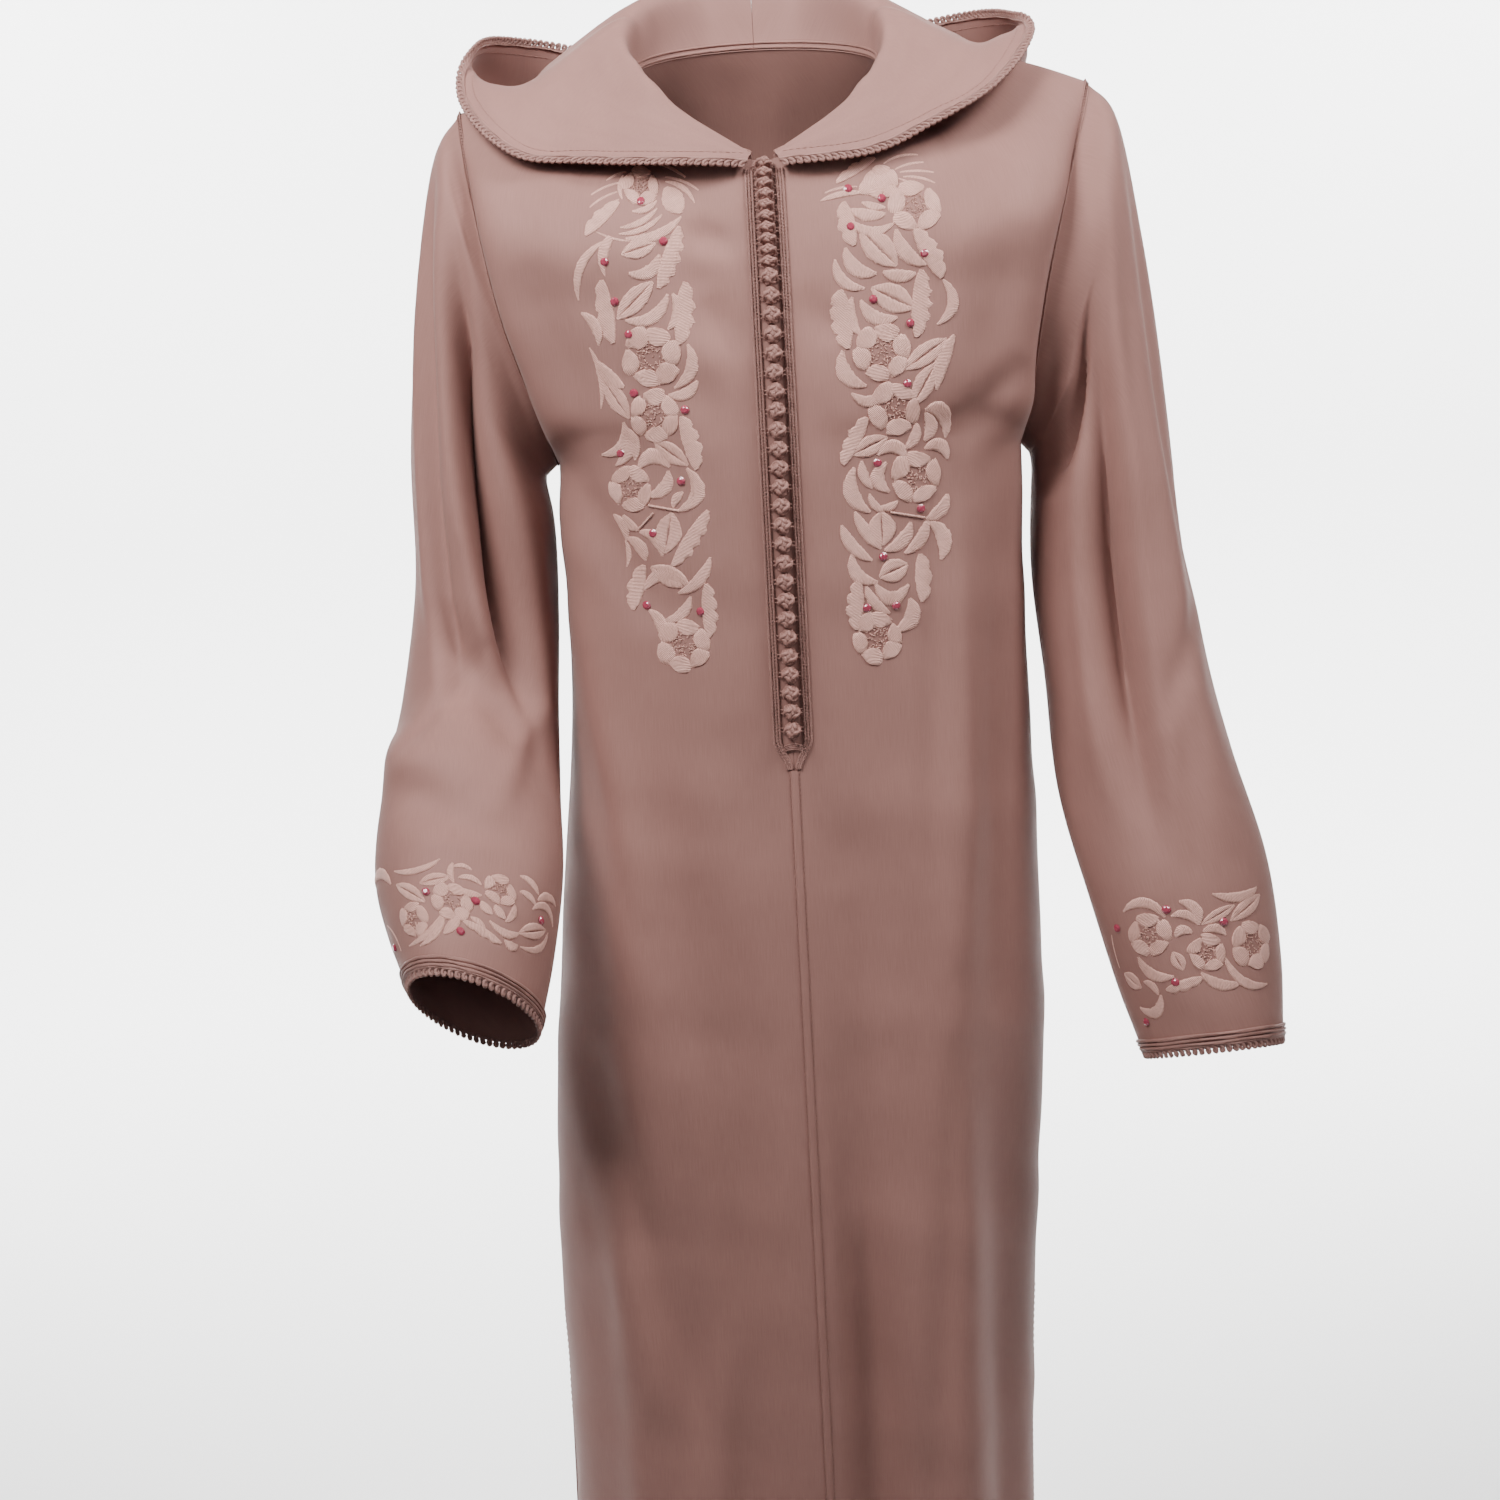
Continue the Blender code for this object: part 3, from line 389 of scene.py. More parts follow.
# Camera
CAMERA_AIM = (-0.028, -0.10, -0.445)
CAMERA_TILT = 10.0
CAMERA_AWAY = 1.6
CAMERA_ROLL = 3.0
CAMERA_LENS = 58.18
CAMERA_SENSOR = 36.0

# Trims
BRAID_STEP = 0.0012
BRAID_GROUND_PLACES = (0.06, 0.28, 0.50, 0.72, 0.94)
BRAID_GROUND_LIFTS = (0.0003, 0.0006)
BRAID_CORDS = (0.17, 0.50, 0.83)
BRAID_CORD = 0.00085
BRAID_CORD_LIFT = 0.0008
BRAID_PITCH = 0.0021
BRAID_SLANT = 0.0016
BRAID_LEAN = 0.17
BRAID_CHAIN_START = 0.001
BRAID_CHAIN_END = 0.003
BRAID_CHAIN_LIFT = 0.0010
BRAID_CHAIN_WIDE = 0.0012
BRAID_CHAIN_HIGH = 0.0016
KNOT_LEADS = 3
KNOT_BIGHTS = 4
KNOT_RISE = 58.0
KNOT_POINTS = 132
KNOT_RADIUS = 0.0044
KNOT_OVER = 0.00040
KNOT_CORD = 0.00142
KNOT_CORE = 0.0050
KNOT_CORE_SIDES = 10
KNOT_CORE_RINGS = 7
KNOT_CORE_END = 80.0
KNOT_LIFT = 0.0002
KNOT_TURN = 45.0
KNOT_TURN_VARIES = 16
KNOT_TILT = 0.12
KNOT_SQUEEZED_CORD = 0.72
# Each knot's four short stitches: out from the middle, and height, at both ends
KNOT_STITCH_NEAR = (0.0042, 0.0022)
KNOT_STITCH_FAR = (0.0072, 0.0012)
KNOT_STITCH_APART = 0.0009
KNOT_STITCH_SPREAD = 1.5
KNOT_STITCH_THICK = 0.0009
LOOP_PITCH = 0.0046
LOOP_POINTS = 16
LOOP_CURL = 0.45
LOOP_NEAR = 0.0006
LOOP_FAR = 0.0051
LOOP_CROSS = 0.0005
LOOP_CORD = 0.00112
EDGE_CORD = 0.00075
EDGE_CORD_STEP = 0.0022
EDGE_CORD_OUT = 0.0002
EDGE_CORD_UP = 0.0004
CUFF_CORDS = 3
CUFF_CORD_PITCH = 0.0027
CUFF_CORD = 0.0013
CUFF_CORD_FIRST = 0.0014
CUFF_CORD_LIFT = 0.0005
TUCK_PROFILE = (
    # side   out     height
    (RIGHT, 0.0026, 0.0004),
    (RIGHT, 0.0022, 0.0011),
    (RIGHT, 0.0010, 0.0013),
    (LEFT, 0.0010, 0.0011),
    (LEFT, 0.0022, 0.0008),
    (LEFT, 0.0026, 0.0003),
)
TUCK_UNDER = 0.0001
TUCK_STEP = 0.006
TUCK_START_GAP = 0.001
TUCK_END_GAP = 0.0005
TUCK_STITCH_OUT = 0.0030
TUCK_STITCH_LIFT = 0.0003
TUCK_STITCH_WIDE = 0.0007
TUCK_STITCH_STEP = 0.0034
TUCK_STITCH_COVER = 0.72
BAR_ROWS = 4
BAR_POINTS = 9
BAR_ABOVE_END = 0.0165
BAR_ROW = 0.0011
BAR_CURVE = 0.0016
BAR_HALF = 0.0056
BAR_LIFT = 0.0012
BAR_CORD = 0.0006

# Seam cords and stitches
SEAM_STITCH = 0.0006
LOW_STITCH = 0.0005
STITCH_LIFT = 0.0002
ARMHOLE_CORD = 0.00045
ARMHOLE_SLEEVE_SIDE = 0.0016
ARMHOLE_SLEEVE_LIFT = 0.0005
ARMHOLE_BODY_SIDE = 0.0014
ARMHOLE_BODY_LIFT = 0.0006
ARMHOLE_STITCH_STEP = 0.0026
NECK_CORD = 0.0009
NECK_CORD_POINTS = 160
NECK_CORD_PLACES = (0.0018, 0.0052)
HOOD_STITCH_INSET = 0.006
HOOD_STITCH_STEP = 0.0044
HOOD_STITCH_LIFT = 0.0001
HOOD_STITCH_COVER = 0.7
HEM_DEEP = 0.018
HEM_COLUMN_STEP = 0.28
HEM_STITCH_STEP = 0.006
HEM_STITCH_COVER = 0.45
SLIT_STITCH_COLUMNS = 2.4
SLIT_STITCHES = 90
SLIT_STITCH_COVER = 0.5

# Embroidery, in millimetres
BEND_SHARE = 1.2
DOME_ACROSS = (-1.0, -0.88, -0.50, 0.0, 0.50, 0.88, 1.0, 0.98, -0.98)
DOME_HEIGHTS = (0.10, 0.78, 1.0, 0.96, 1.0, 0.78, 0.10, 0.0, 0.0)
DOME_FULL_HALF = 2.2
SATIN_HIGH = 0.80
SATIN_SUNK = 0.06
SATIN_FOOT = 2.4
SATIN_UNEVEN = 0.05
SATIN_LEAST_RISE = 0.35
SATIN_PLACE_VARIES = 0.4
SEEDS_PER_MM = 5.0
SEED_REACH = 0.52
SEED_HALF = 0.75
SEED_LIFT = 0.3
SEED_WIDE = 0.65
SEED_HIGH = 0.9
PETAL_START = 0.42
PETAL_WIDE = 1.07
PETAL_WIDEST_AT = 0.78
PETAL_HIGH = 1.1
PETAL_TURN_VARIES = 4
PETAL_REACH = (0.95, 1.10)
PETAL_BEND = 0.06
PETAL_POINTS = 12
PETAL_FOOT = 0.30
# Half widths as shares of a shape's width, each with how bluntly its ends swell
BLADE_FULL = 0.60
BLADE_SWELL = 0.58
SPLIT_FULL = 0.265
SPLIT_SWELL = 0.62
SPLIT_APART = 0.30
SPLIT_APART_SWELL = 0.8
SCALLOP_FULL = 0.74
SCALLOP_SWELL = 0.40
SCALLOP_PLAIN = 0.34
SCALLOP_LOBE = 9.0
SCALLOP_FEWEST = 3
SCALLOP_DEEP = 0.30
SCALLOP_LOBE_SWELL = 0.7
RAY_LEAST = 0.35
COMMA_SPAN = (0.1, 0.86)
COMMA_FADE = 0.4
COMMA_LEAST = 0.05
PLAIN_SWELL = 0.5
SWELL_ENDS = (0.02, 0.98)
CORD_LIFT = 0.35
CORD_SHARE = 0.4
POINT_SPACING = 1.1
FEWEST_POINTS = 8
MOST_POINTS = 40
STONE_SIDES = 8
CUFF_LOOP_UP = 0.045
STONE_RINGS = (
    # radius height shift
    (2.5, 0.05, 0.0),
    (2.9, 0.55, 0.0),
    (2.3, 1.25, 0.39),
    (1.5, 1.75, 0.0),
)

# Finishes. A noise is its scale (patterns in a metre), detail and, where it has one,
# roughness; a roughness is its range and its start.
WEAVE_THREADS = 2200.0
WEAVE_GRAIN = 0.35
WOBBLE_NOISE = (900.0, 2.0)
WEAVE_WOBBLE = 2.4
CREPE_NOISE = (1500.0, 3.0, 0.6)
CREPE_SHARE = 0.6
WEAVE_SHARE = 0.4
PATCH_NOISE = (16.0, 4.0, 0.6)
PATCH_SHADE = 0.5
PATCH_ROUGHNESS = 0.3
SLUB_NOISE = ((2200.0, 60.0, 1.0), 1.0)
SLUB_SHADE = 0.5
SLUB_HEIGHT = 0.4
CREPE_ROUGHNESS = (0.18, 0.62)
FUZZ_NOISE = (1400.0, 2.0)
FUZZ_TURN = 3.0
THREAD_PATCH_NOISE = (70.0, 3.0)
THREAD_PATCH_SHADE = 0.7
# Painted shade: how far the grooves between a thread's fibres are darkened
THREAD_GROOVE_PAINTED_SHADE = 0.55
THREAD_ROUGHNESS = (0.25, 0.42)
SATIN_THREADS = 1050.0
SATIN_THREAD_NOISE = ((120.0, 1700.0, 1.0), 2.0)
SATIN_THREAD_TURN = 2.5
SATIN_LEAN = 0.35
SATIN_PATCH_NOISE = (160.0, 2.0)
SATIN_PATCH_SHADE = 0.6
# Uneven satin tone: from thread to thread a painted sheen, in slow patches a random tone
SATIN_SHEEN_AND_TONE_SHADE = 0.8
# Painted shade: how far the gaps between satin threads are darkened
SATIN_GROOVE_PAINTED_SHADE = 0.6
SATIN_ROUGHNESS = (0.20, 0.42)
SHEEN_COLOUR = (1.0, 0.9, 0.87, 1.0)
SHEEN_ROUGHNESS = 0.35
CLOTH_SPECULAR = 0.3
STONE_NOISE = (420.0, 3.0)
STONE_PALE = (0.42, 0.06, 0.10, 1.0)
STONE_DEEP = (0.20, 0.02, 0.045, 1.0)
STONE_ROUGHNESS = 0.22
STONE_SPECULAR = 0.8
STONE_COAT = 0.6
FLOOR_NOISE = (1.4, 4.0)
FLOOR_PALE = (0.86, 0.86, 0.86, 1.0)
FLOOR_DEEP = (0.82, 0.82, 0.82, 1.0)
FLOOR_ROUGHNESS = 0.9
FINISHES = (
    # finish, material, effect, bump strength and depth, sheen, the effect's values
    ("robe_cloth", "mauve_crepe", "weave", 0.35, 0.0002, 0.10,
     {"Shade": CLOTH_SHADE, "Dark": CLOTH_DARK, "Threads": WEAVE_THREADS, "Grain": WEAVE_GRAIN}),
    # The hood's cloth is the robe's crepe with painted light: its colours are a little lighter
    ("hood_cloth", "mauve_crepe_painted_lighter", "weave", 0.35, 0.0002, 0.12,
     {"Shade": HOOD_SHADE_PAINTED_LIGHTER, "Dark": HOOD_DARK_PAINTED_LIGHTER, "Threads": WEAVE_THREADS, "Grain": WEAVE_GRAIN}),
    ("braid", "braid_thread", "thread", 0.5, 0.0002, 0.08,
     {"Shade": BRAID_SHADE, "Dark": BRAID_DARK, "Fibres": 9000.0, "Slant": 1.2}),
    ("loop_trim", "loop_cord", "thread", 0.5, 0.0002, 0.08,
     {"Shade": LOOP_SHADE, "Dark": LOOP_DARK, "Fibres": 7000.0, "Slant": 1.2}),
    ("button_thread", "knot_thread", "thread", 0.5, 0.0002, 0.08,
     {"Shade": KNOT_SHADE, "Dark": KNOT_DARK, "Fibres": 7000.0, "Slant": 0.8}),
    ("seam_thread", "seam_thread", "thread", 0.4, 0.0002, 0.06,
     {"Shade": SEAM_SHADE, "Dark": SEAM_DARK, "Fibres": 9000.0, "Slant": 1.0}),
    ("satin", "pale_satin_thread", "satin", 0.9, 0.0004, 0.08,
     {"Shade": SATIN_SHADE, "Dark": SATIN_DARK, "Threads": SATIN_THREADS}),
)

# Material slots of the record, by the start of a node's name
SLOTS = (
    ("hood_loops", "loop_trim"),
    ("cuff_loops", "loop_trim"),
    ("hood", "hood_cloth"),
    ("sfifa", "braid"),
    ("cuff_band", "braid"),
)

# Flat cuts, in metres and square metres
CUTS = (
    # cut, width and length, area, held, what it rests on, what is sewn on it
    ("front_right", (0.284, 1.459), 0.355, "hung", ["hood_right_cloth", "back_cloth"],
     ["sfifa_braid_right", "chest_right_satin_stitch", "chest_right_seed_stitch",
      "chest_right_stones"]),
    ("front_left", (0.295, 1.459), 0.349, "hung", ["hood_left_cloth", "back_cloth"],
     ["sfifa_braid_left", "chest_left_satin_stitch", "chest_left_seed_stitch",
      "chest_left_stones", "ball_knots", "slit_end_bar", "front_tuck_cloth", "tuck_stitches"]),
    ("back", (0.569, 1.455), 0.688, "hung", ["hood_right_cloth", "hood_left_cloth"],
     ["seam_cords_and_stitches"]),
    ("sleeve_right", (0.577, 0.637), 0.199, "hung", ["front_right_cloth", "back_cloth"],
     ["cuff_cords_right", "cuff_loop_cord_right", "cuff_right_satin_stitch",
      "cuff_right_seed_stitch", "cuff_right_stones"]),
    ("sleeve_left", (0.579, 0.666), 0.212, "hung", ["front_left_cloth", "back_cloth"],
     ["cuff_cords_left", "cuff_loop_cord_left", "cuff_left_satin_stitch",
      "cuff_left_seed_stitch", "cuff_left_stones"]),
    ("hood_right", (0.420, 0.675), 0.113, "draped", ["front_right_cloth", "back_cloth"],
     ["hood_loop_cord_right"]),
    ("hood_left", (0.420, 0.675), 0.106, "draped", ["front_left_cloth", "back_cloth"],
     ["hood_loop_cord_left"]),
)

# Embroidery charts. Chest: x across and y down, in millimetres. Cuffs: degrees
# round the arm and millimetres up from the edge. A shape gives its two ends, its
# width and, where it has one, its bend; a flower gives its middle, turn, petals
# and radius; a stone its middle.
CHEST_RIGHT = (
    ("flower", -79, 78, 10, 5, 11.9),
    ("blade", -95, 62, -84, 57, 5.7, 0.1),
    ("ray", -75, 61, -50, 74, 2.3, 0.05),
    ("ray", -63, 73, -42, 83, 1.8, 0.06),
    ("blade", -63, 76, -45, 91, 2.9, 0.12),
    ("blade", -63, 80, -54, 97, 11.9),
    ("ray", -101, 73, -88, 68, 1.6, 0.05),
    ("ray", -111, 82, -92, 75, 1.6, 0.05),
    ("ray", -112, 90, -94, 81, 1.6, 0.05),
    ("ray", -110, 97, -93, 86, 1.6, 0.05),
    ("blade", -91, 86, -90, 70, 2.5, 0.1),
    ("blade", -85, 94, -69, 88, 3.8, -0.12),
    ("blade", -93, 104, -69, 93, 3.8, -0.1),
    ("blade", -94, 108, -66, 97, 3.4, -0.1),
    ("blade", -90, 111, -54, 99, 5.7, -0.12),
    ("scallop", -115, 108, -93, 88, 9.1, 1),
    ("ray", -108, 106, -86, 113, 1.6, -0.05),
    ("comma", -99, 110, -104, 134, 8.5, -0.12),
    ("blade", -103, 112, -122, 148, 4.8, -0.15),
    ("split", -93, 121, -71, 115, 10.8),
    ("blade", -89, 133, -69, 122, 7.0, -0.22),
    ("scallop", -71, 143, -56, 105, 10.8, -1),
    ("scallop", -101, 176, -106, 136, 10.8, 1),
    ("split", -98, 161, -74, 139, 12.5),
    ("blade", -93, 162, -65, 147, 7.0, -0.2),
    ("blade", -66, 169, -62, 147, 7.0, -0.2),
    ("scallop", -60, 179, -54, 140, 11.9, -1),
    ("flower", -78, 186, 20, 6, 18.7),
    ("blade", -64, 206, -54, 179, 6.8, -0.2),
    ("blade", -68, 210, -49, 202, 6.6, -0.18),
    ("blade", -112, 187, -96, 204, 8.5, -0.1),
    ("blade", -117, 178, -112, 217, 3.4, 0.08),
    ("split", -109, 199, -94, 224, 10.8),
    ("blade", -121, 156, -111, 177, 5.9, 0.15),
    ("stone", -79, 88),
    ("stone", -66, 114),
    ("stone", -104, 125),
    ("stone", -99, 150),
    ("stone", -91, 171),
    ("stone", -90, 208),
    ("stone", -58, 220),
    ("flower", -78, 223, 0, 6, 16.4),
    ("blade", -98, 226, -114, 247, 6.5, 0.25),
    ("blade", -98, 229, -105, 254, 7.0, 0.2),
    ("blade", -96, 230, -92, 251, 5.6, 0.1),
    ("scallop", -53, 258, -61, 224, 11.1, -1),
    ("split", -79, 239, -58, 255, 10.6),
    ("blade", -90, 256, -70, 256, 8.8, 0.3),
    ("blade", -85, 274, -71, 258, 7.3, -0.2),
    ("flower", -96, 269, 35, 5, 14.3),
    ("blade", -66, 284, -59, 257, 8.0, -0.3),
    ("blade", -69, 282, -62, 272, 4.7, 0.1),
    ("cord", -85, 280, -65, 284, 2.1),
    ("cord", -92, 295, -82, 285, 1.9),
    ("blade", -109, 286, -101, 303, 5.3, 0.12),
    ("blade", -102, 286, -92, 296, 5.3, -0.1),
    ("blade", -102, 303, -102, 320, 3.0, 0.1),
    ("blade", -100, 301, -89, 316, 7.0, 0.12),
    ("blade", -92, 297, -78, 313, 7.0, 0.2),
    ("split", -76, 311, -70, 285, 15.2),
    ("scallop", -72, 319, -47, 284, 10.0, -1),
    ("scallop", -99, 348, -90, 319, 10.6, 1),
    ("split", -86, 320, -62, 332, 12.3),
    ("blade", -69, 337, -47, 314, 6.6, -0.12),
    ("blade", -91, 335, -61, 334, 8.2, 0.28),
    ("blade", -79, 355, -61, 339, 6.1, -0.15),
    ("blade", -89, 348, -81, 369, 6.8, 0.15),
    ("scallop", -51, 366, -51, 331, 10.0, -1),
    ("stone", -63, 265),
    ("stone", -101, 246),
    ("stone", -83, 298),
    ("stone", -90, 345),
    ("stone", -55, 349),
    ("flower", -67, 371, 15, 6, 17.0),
)
CHEST_LEFT = (
    ("scallop", 46, 83, 72, 68, 6.8, 1),
    ("blade", 60, 90, 85, 81, 11.9, 0.05),
    ("flower", 75, 84, 0, 5, 10.8),
    ("blade", 35, 94, 63, 90, 3.6, 0.05),
    ("ray", 38, 89, 59, 86, 1.6, 0.05),
    ("ray", 77, 72, 100, 67, 1.6, 0.08),
    ("ray", 84, 76, 103, 72, 1.6, 0.05),
    ("ray", 87, 78, 109, 79, 1.6, 0.04),
    ("ray", 89, 81, 109, 86, 1.8, 0.06),
    ("ray", 86, 82, 99, 90, 1.6, 0.05),
    ("flower", 95, 100, 0, 5, 15.8),
    ("blade", 53, 100, 76, 104, 6.8, -0.08),
    ("blade", 61, 96, 76, 100, 4.5, -0.05),
    ("blade", 51, 105, 81, 110, 5.7, -0.2),
    ("scallop", 55, 123, 50, 95, 10.8, 1),
    ("stone", 53, 87),
    ("stone", 74, 94),
    ("stone", 53, 111),
    ("stone", 99, 130),
    ("stone", 65, 157),
    ("stone", 88, 173),
    ("stone", 84, 211),
    ("split", 59, 113, 81, 137, 16.4),
    ("blade", 82, 114, 100, 137, 8.2, -0.15),
    ("scallop", 109, 146, 93, 115, 11.9, -1),
    ("blade", 49, 124, 68, 141, 8.2, -0.2),
    ("blade", 42, 131, 60, 150, 6.3, -0.2),
    ("blade", 72, 140, 93, 142, 7.0, -0.1),
    ("scallop", 91, 182, 96, 140, 11.9, -1),
    ("blade", 105, 175, 110, 147, 6.3, -0.25),
    ("scallop", 48, 187, 45, 150, 13.6, 1),
    ("blade", 56, 179, 52, 155, 7.0, 0.15),
    ("split", 64, 150, 91, 164, 15.8),
    ("blade", 57, 157, 80, 169, 7.5, -0.2),
    ("flower", 69, 191, 15, 6, 17.9),
    ("blade", 44, 188, 58, 211, 8.2, -0.22),
    ("split", 83, 202, 111, 184, 11.9),
    ("blade", 103, 216, 116, 182, 7.7, 0.05),
    ("split", 87, 225, 103, 199, 11.9),
    ("blade", 48, 215, 71, 213, 6.8, -0.25),
    ("flower", 76, 226, 30, 5, 16.1),
    ("blade", 96, 228, 111, 236, 7.9, 0.2),
    ("scallop", 41, 260, 58, 231, 10.2, 1),
    ("blade", 95, 228, 108, 247, 7.0, 0.25),
    ("blade", 95, 230, 94, 248, 7.5, 0.2),
    ("blade", 81, 252, 89, 236, 6.2, -0.15),
    ("split", 47, 254, 70, 244, 11.3),
    ("blade", 63, 255, 82, 259, 7.5, 0.3),
    ("blade", 94, 253, 109, 261, 7.5, 0.3),
    ("flower", 88, 271, 10, 5, 16.4),
    ("blade", 48, 262, 57, 291, 8.5, -0.2),
    ("blade", 53, 258, 59, 276, 5.7, -0.1),
    ("blade", 69, 260, 70, 279, 7.9, -0.3),
    ("blade", 57, 279, 67, 291, 4.5, -0.15),
    ("blade", 63, 288, 75, 285, 4.5, -0.15),
    ("cord", 70, 292, 92, 297, 2.0),
    ("blade", 93, 298, 108, 283, 7.5, -0.15),
    ("blade", 95, 300, 102, 325, 8.6, 0.2),
    ("blade", 78, 319, 94, 298, 7.0, -0.12),
    ("blade", 65, 316, 83, 299, 7.5, -0.15),
    ("split", 64, 313, 64, 291, 16.4),
    ("blade", 47, 290, 63, 315, 6.6, -0.05),
    ("blade", 38, 298, 57, 322, 7.0, -0.1),
    ("scallop", 88, 351, 88, 320, 10.8, -1),
    ("split", 61, 333, 80, 326, 13.6),
    ("blade", 44, 317, 60, 336, 7.2, -0.22),
    ("blade", 58, 337, 80, 339, 7.9, -0.35),
    ("blade", 52, 338, 67, 357, 6.1, -0.1),
    ("scallop", 45, 366, 48, 334, 10.8, 1),
    ("blade", 70, 368, 80, 348, 9.1, -0.25),
    ("stone", 63, 260),
    ("stone", 90, 291),
    ("stone", 64, 320),
    ("stone", 52, 352),
    ("stone", 71, 352),
    ("flower", 58, 372, 20, 6, 16.4),
)
CUFF_RIGHT = (
    ("blade", 42, 71, 78, 75, 4.1, -0.15),
    ("split", 62, 58, 84, 63, 7.9),
    ("split", 42, 61, 64, 45, 9.5),
    ("flower", 51, 34, 0, 5, 12.0),
    ("flower", 84, 46, 20, 6, 12.9),
    ("blade", 86, 59, 86, 73, 3.7, 0.1),
    ("blade", 86, 70, 98, 70, 2.8, 0.15),
    ("blade", 89, 63, 104, 61, 3.8, 0.15),
    ("blade", 89, 56, 104, 54, 4.6, -0.1),
    ("blade", 40, 17, 78, 39, 4.1, -0.12),
    ("blade", 53, 15, 78, 37, 4.6, -0.12),
    ("blade", 76, 23, 89, 37, 6.0, -0.05),
    ("scallop", 118, 26, 91, 34, 6.6, 1),
    ("blade", 96, 37, 106, 32, 3.7, 0.05),
    ("flower", 116, 61, 0, 5, 9.8),
    ("blade", 104, 50, 111, 43, 5.5, -0.1),
    ("blade", 113, 50, 120, 43, 5.5, -0.1),
    ("blade", 120, 41, 126, 55, 3.8, -0.1),
    ("blade", 129, 76, 144, 70, 4.1, 0.12),
    ("blade", 129, 65, 142, 62, 4.3, 0.12),
    ("blade", 144, 66, 166, 73, 5.0, 0.15),
    ("blade", 140, 58, 166, 59, 4.6, 0.25),
    ("blade", 109, 38, 131, 38, 5.0, -0.2),
    ("split", 131, 38, 156, 52, 9.1),
    ("blade", 120, 29, 131, 30, 5.0, -0.2),
    ("blade", 133, 30, 160, 52, 3.7, -0.15),
    ("blade", 6, 76, 36, 63, 6.6, 0.2),
    ("ray", 13, 41, 26, 17, 1.7, 0.1),
    ("stone", 66, 52),
    ("stone", 100, 49),
    ("stone", 89, 26),
    ("stone", 149, 55),
    ("stone", 16, 23),
)
CUFF_LEFT = (
    ("blade", 140, 95, 113, 87, 6.0, 0.25),
    ("flower", 126, 77, 10, 5, 13.4),
    ("stone", 111, 92),
    ("stone", 76, 79),
    ("stone", 149, 85),
    ("stone", 116, 44),
    ("stone", 151, 20),
    ("blade", 102, 96, 93, 79, 6.6, 0.2),
    ("blade", 109, 87, 93, 79, 5.2, 0.2),
    ("blade", 109, 73, 98, 74, 5.7, 0.3),
    ("blade", 80, 98, 44, 99, 5.9, -0.12),
    ("split", 71, 79, 42, 94, 9.5),
    ("split", 91, 79, 66, 89, 6.6),
    ("blade", 91, 74, 76, 70, 5.2, 0.2),
    ("flower", 91, 60, 25, 5, 11.9),
    ("flower", 56, 62, 0, 6, 16.2),
    ("blade", 138, 64, 116, 48, 6.6, -0.2),
    ("blade", 80, 57, 46, 35, 5.7, -0.2),
    ("blade", 98, 48, 71, 38, 6.3, -0.15),
    ("scallop", 124, 40, 98, 45, 7.5, -1),
    ("split", 113, 64, 109, 51, 7.9),
    ("split", 158, 54, 144, 43, 10.3),
    ("blade", 140, 47, 131, 37, 4.7, 0.15),
    ("blade", 153, 30, 129, 37, 6.6, -0.3),
    ("ray", 158, 81, 162, 58, 1.3, -0.05),
)


def smooth(value):
    """Ease from 0 to 1."""
    value = np.clip(value, 0.0, 1.0)
    return value * value * (3.0 - 2.0 * value)


def unit(vectors):
    """Vectors at length 1."""
    vectors = np.asarray(vectors, float)
    return vectors / np.maximum(np.linalg.norm(vectors, axis=-1, keepdims=True), 1e-12)


def through(rows, at):
    """A smooth curve through the rows, read at row numbers that may be fractions."""
    rows = np.asarray(rows, float)
    at = np.clip(np.atleast_1d(np.asarray(at, float)), 0.0, len(rows) - 1.0)
    padded = np.concatenate(([2 * rows[0] - rows[1]], rows, [2 * rows[-1] - rows[-2]]))
    start = np.minimum(at.astype(int), len(rows) - 2)
    t = (at - start).reshape(-1, *([1] * (rows.ndim - 1)))
    a, b, c, d = (padded[start + step] for step in range(4))
    return 0.5 * (2 * b + (c - a) * t + (2 * a - 5 * b + 4 * c - d) * t ** 2
                  + (3 * b - a - 3 * c + d) * t ** 3)


def neckline(angles, side):
    """Points of the neckline; an angle is 0 in front and 180 degrees behind."""
    turns = np.radians(np.atleast_1d(np.asarray(angles, float)))
    ahead = np.cos(turns)
    x = side * NECK_HALF_WIDTH * np.sin(turns)
    reach = np.where(ahead >= 0, NECK_FRONT_REACH, NECK_BACK_REACH)
    rise = (NECK_SIDE_Z - NECK_FRONT_Z) * np.maximum(1 - ahead, 0) ** NECK_CURVE
    behind = NECK_SIDE_Z - (NECK_BACK_Z - NECK_SIDE_Z) * ahead
    z = np.where(ahead >= 0, NECK_FRONT_Z + rise, behind)
    return np.stack((x, NECK_SIDE_Y - reach * ahead, z), axis=1)


def neck_inward(points):
    """Across the cloth at the neckline: half inwards and half down."""
    inwards = np.stack((-points[:, 0], NECK_SIDE_Y - points[:, 1], 0 * points[:, 0]), axis=1)
    return unit(unit(inwards) - np.array((0.0, 0.0, NECK_LEAN)))


def top_edge(across, side, face):
    """Top of a panel: along the neckline, then along the shoulder seam."""
    quarter = 90.0 * np.minimum(across / NECK_SHARE, 1.0)
    beside_neck = neckline(quarter if face == "front" else 180.0 - quarter, side)
    start = neckline(90.0, side)[0]
    tip = np.array((side * SHOULDER_TIP[side], 0.0, SHOULDER_TIP_Z))
    share = np.clip((across - NECK_SHARE) / (1 - NECK_SHARE), 0.0, 1.0)[:, None]
    arch = SHOULDER_ARCH[side] * np.sin(np.pi * share) * np.array((0.0, 0.0, 1.0))
    shoulder = start + (tip - start) * share + arch
    return np.where((across <= NECK_SHARE)[:, None], beside_neck, shoulder)


def sections(face):
    """The section table of a panel as numbers."""
    rows = FRONT_SECTIONS if face == "front" else BACK_SECTIONS
    return np.array([row[1:] for row in rows])


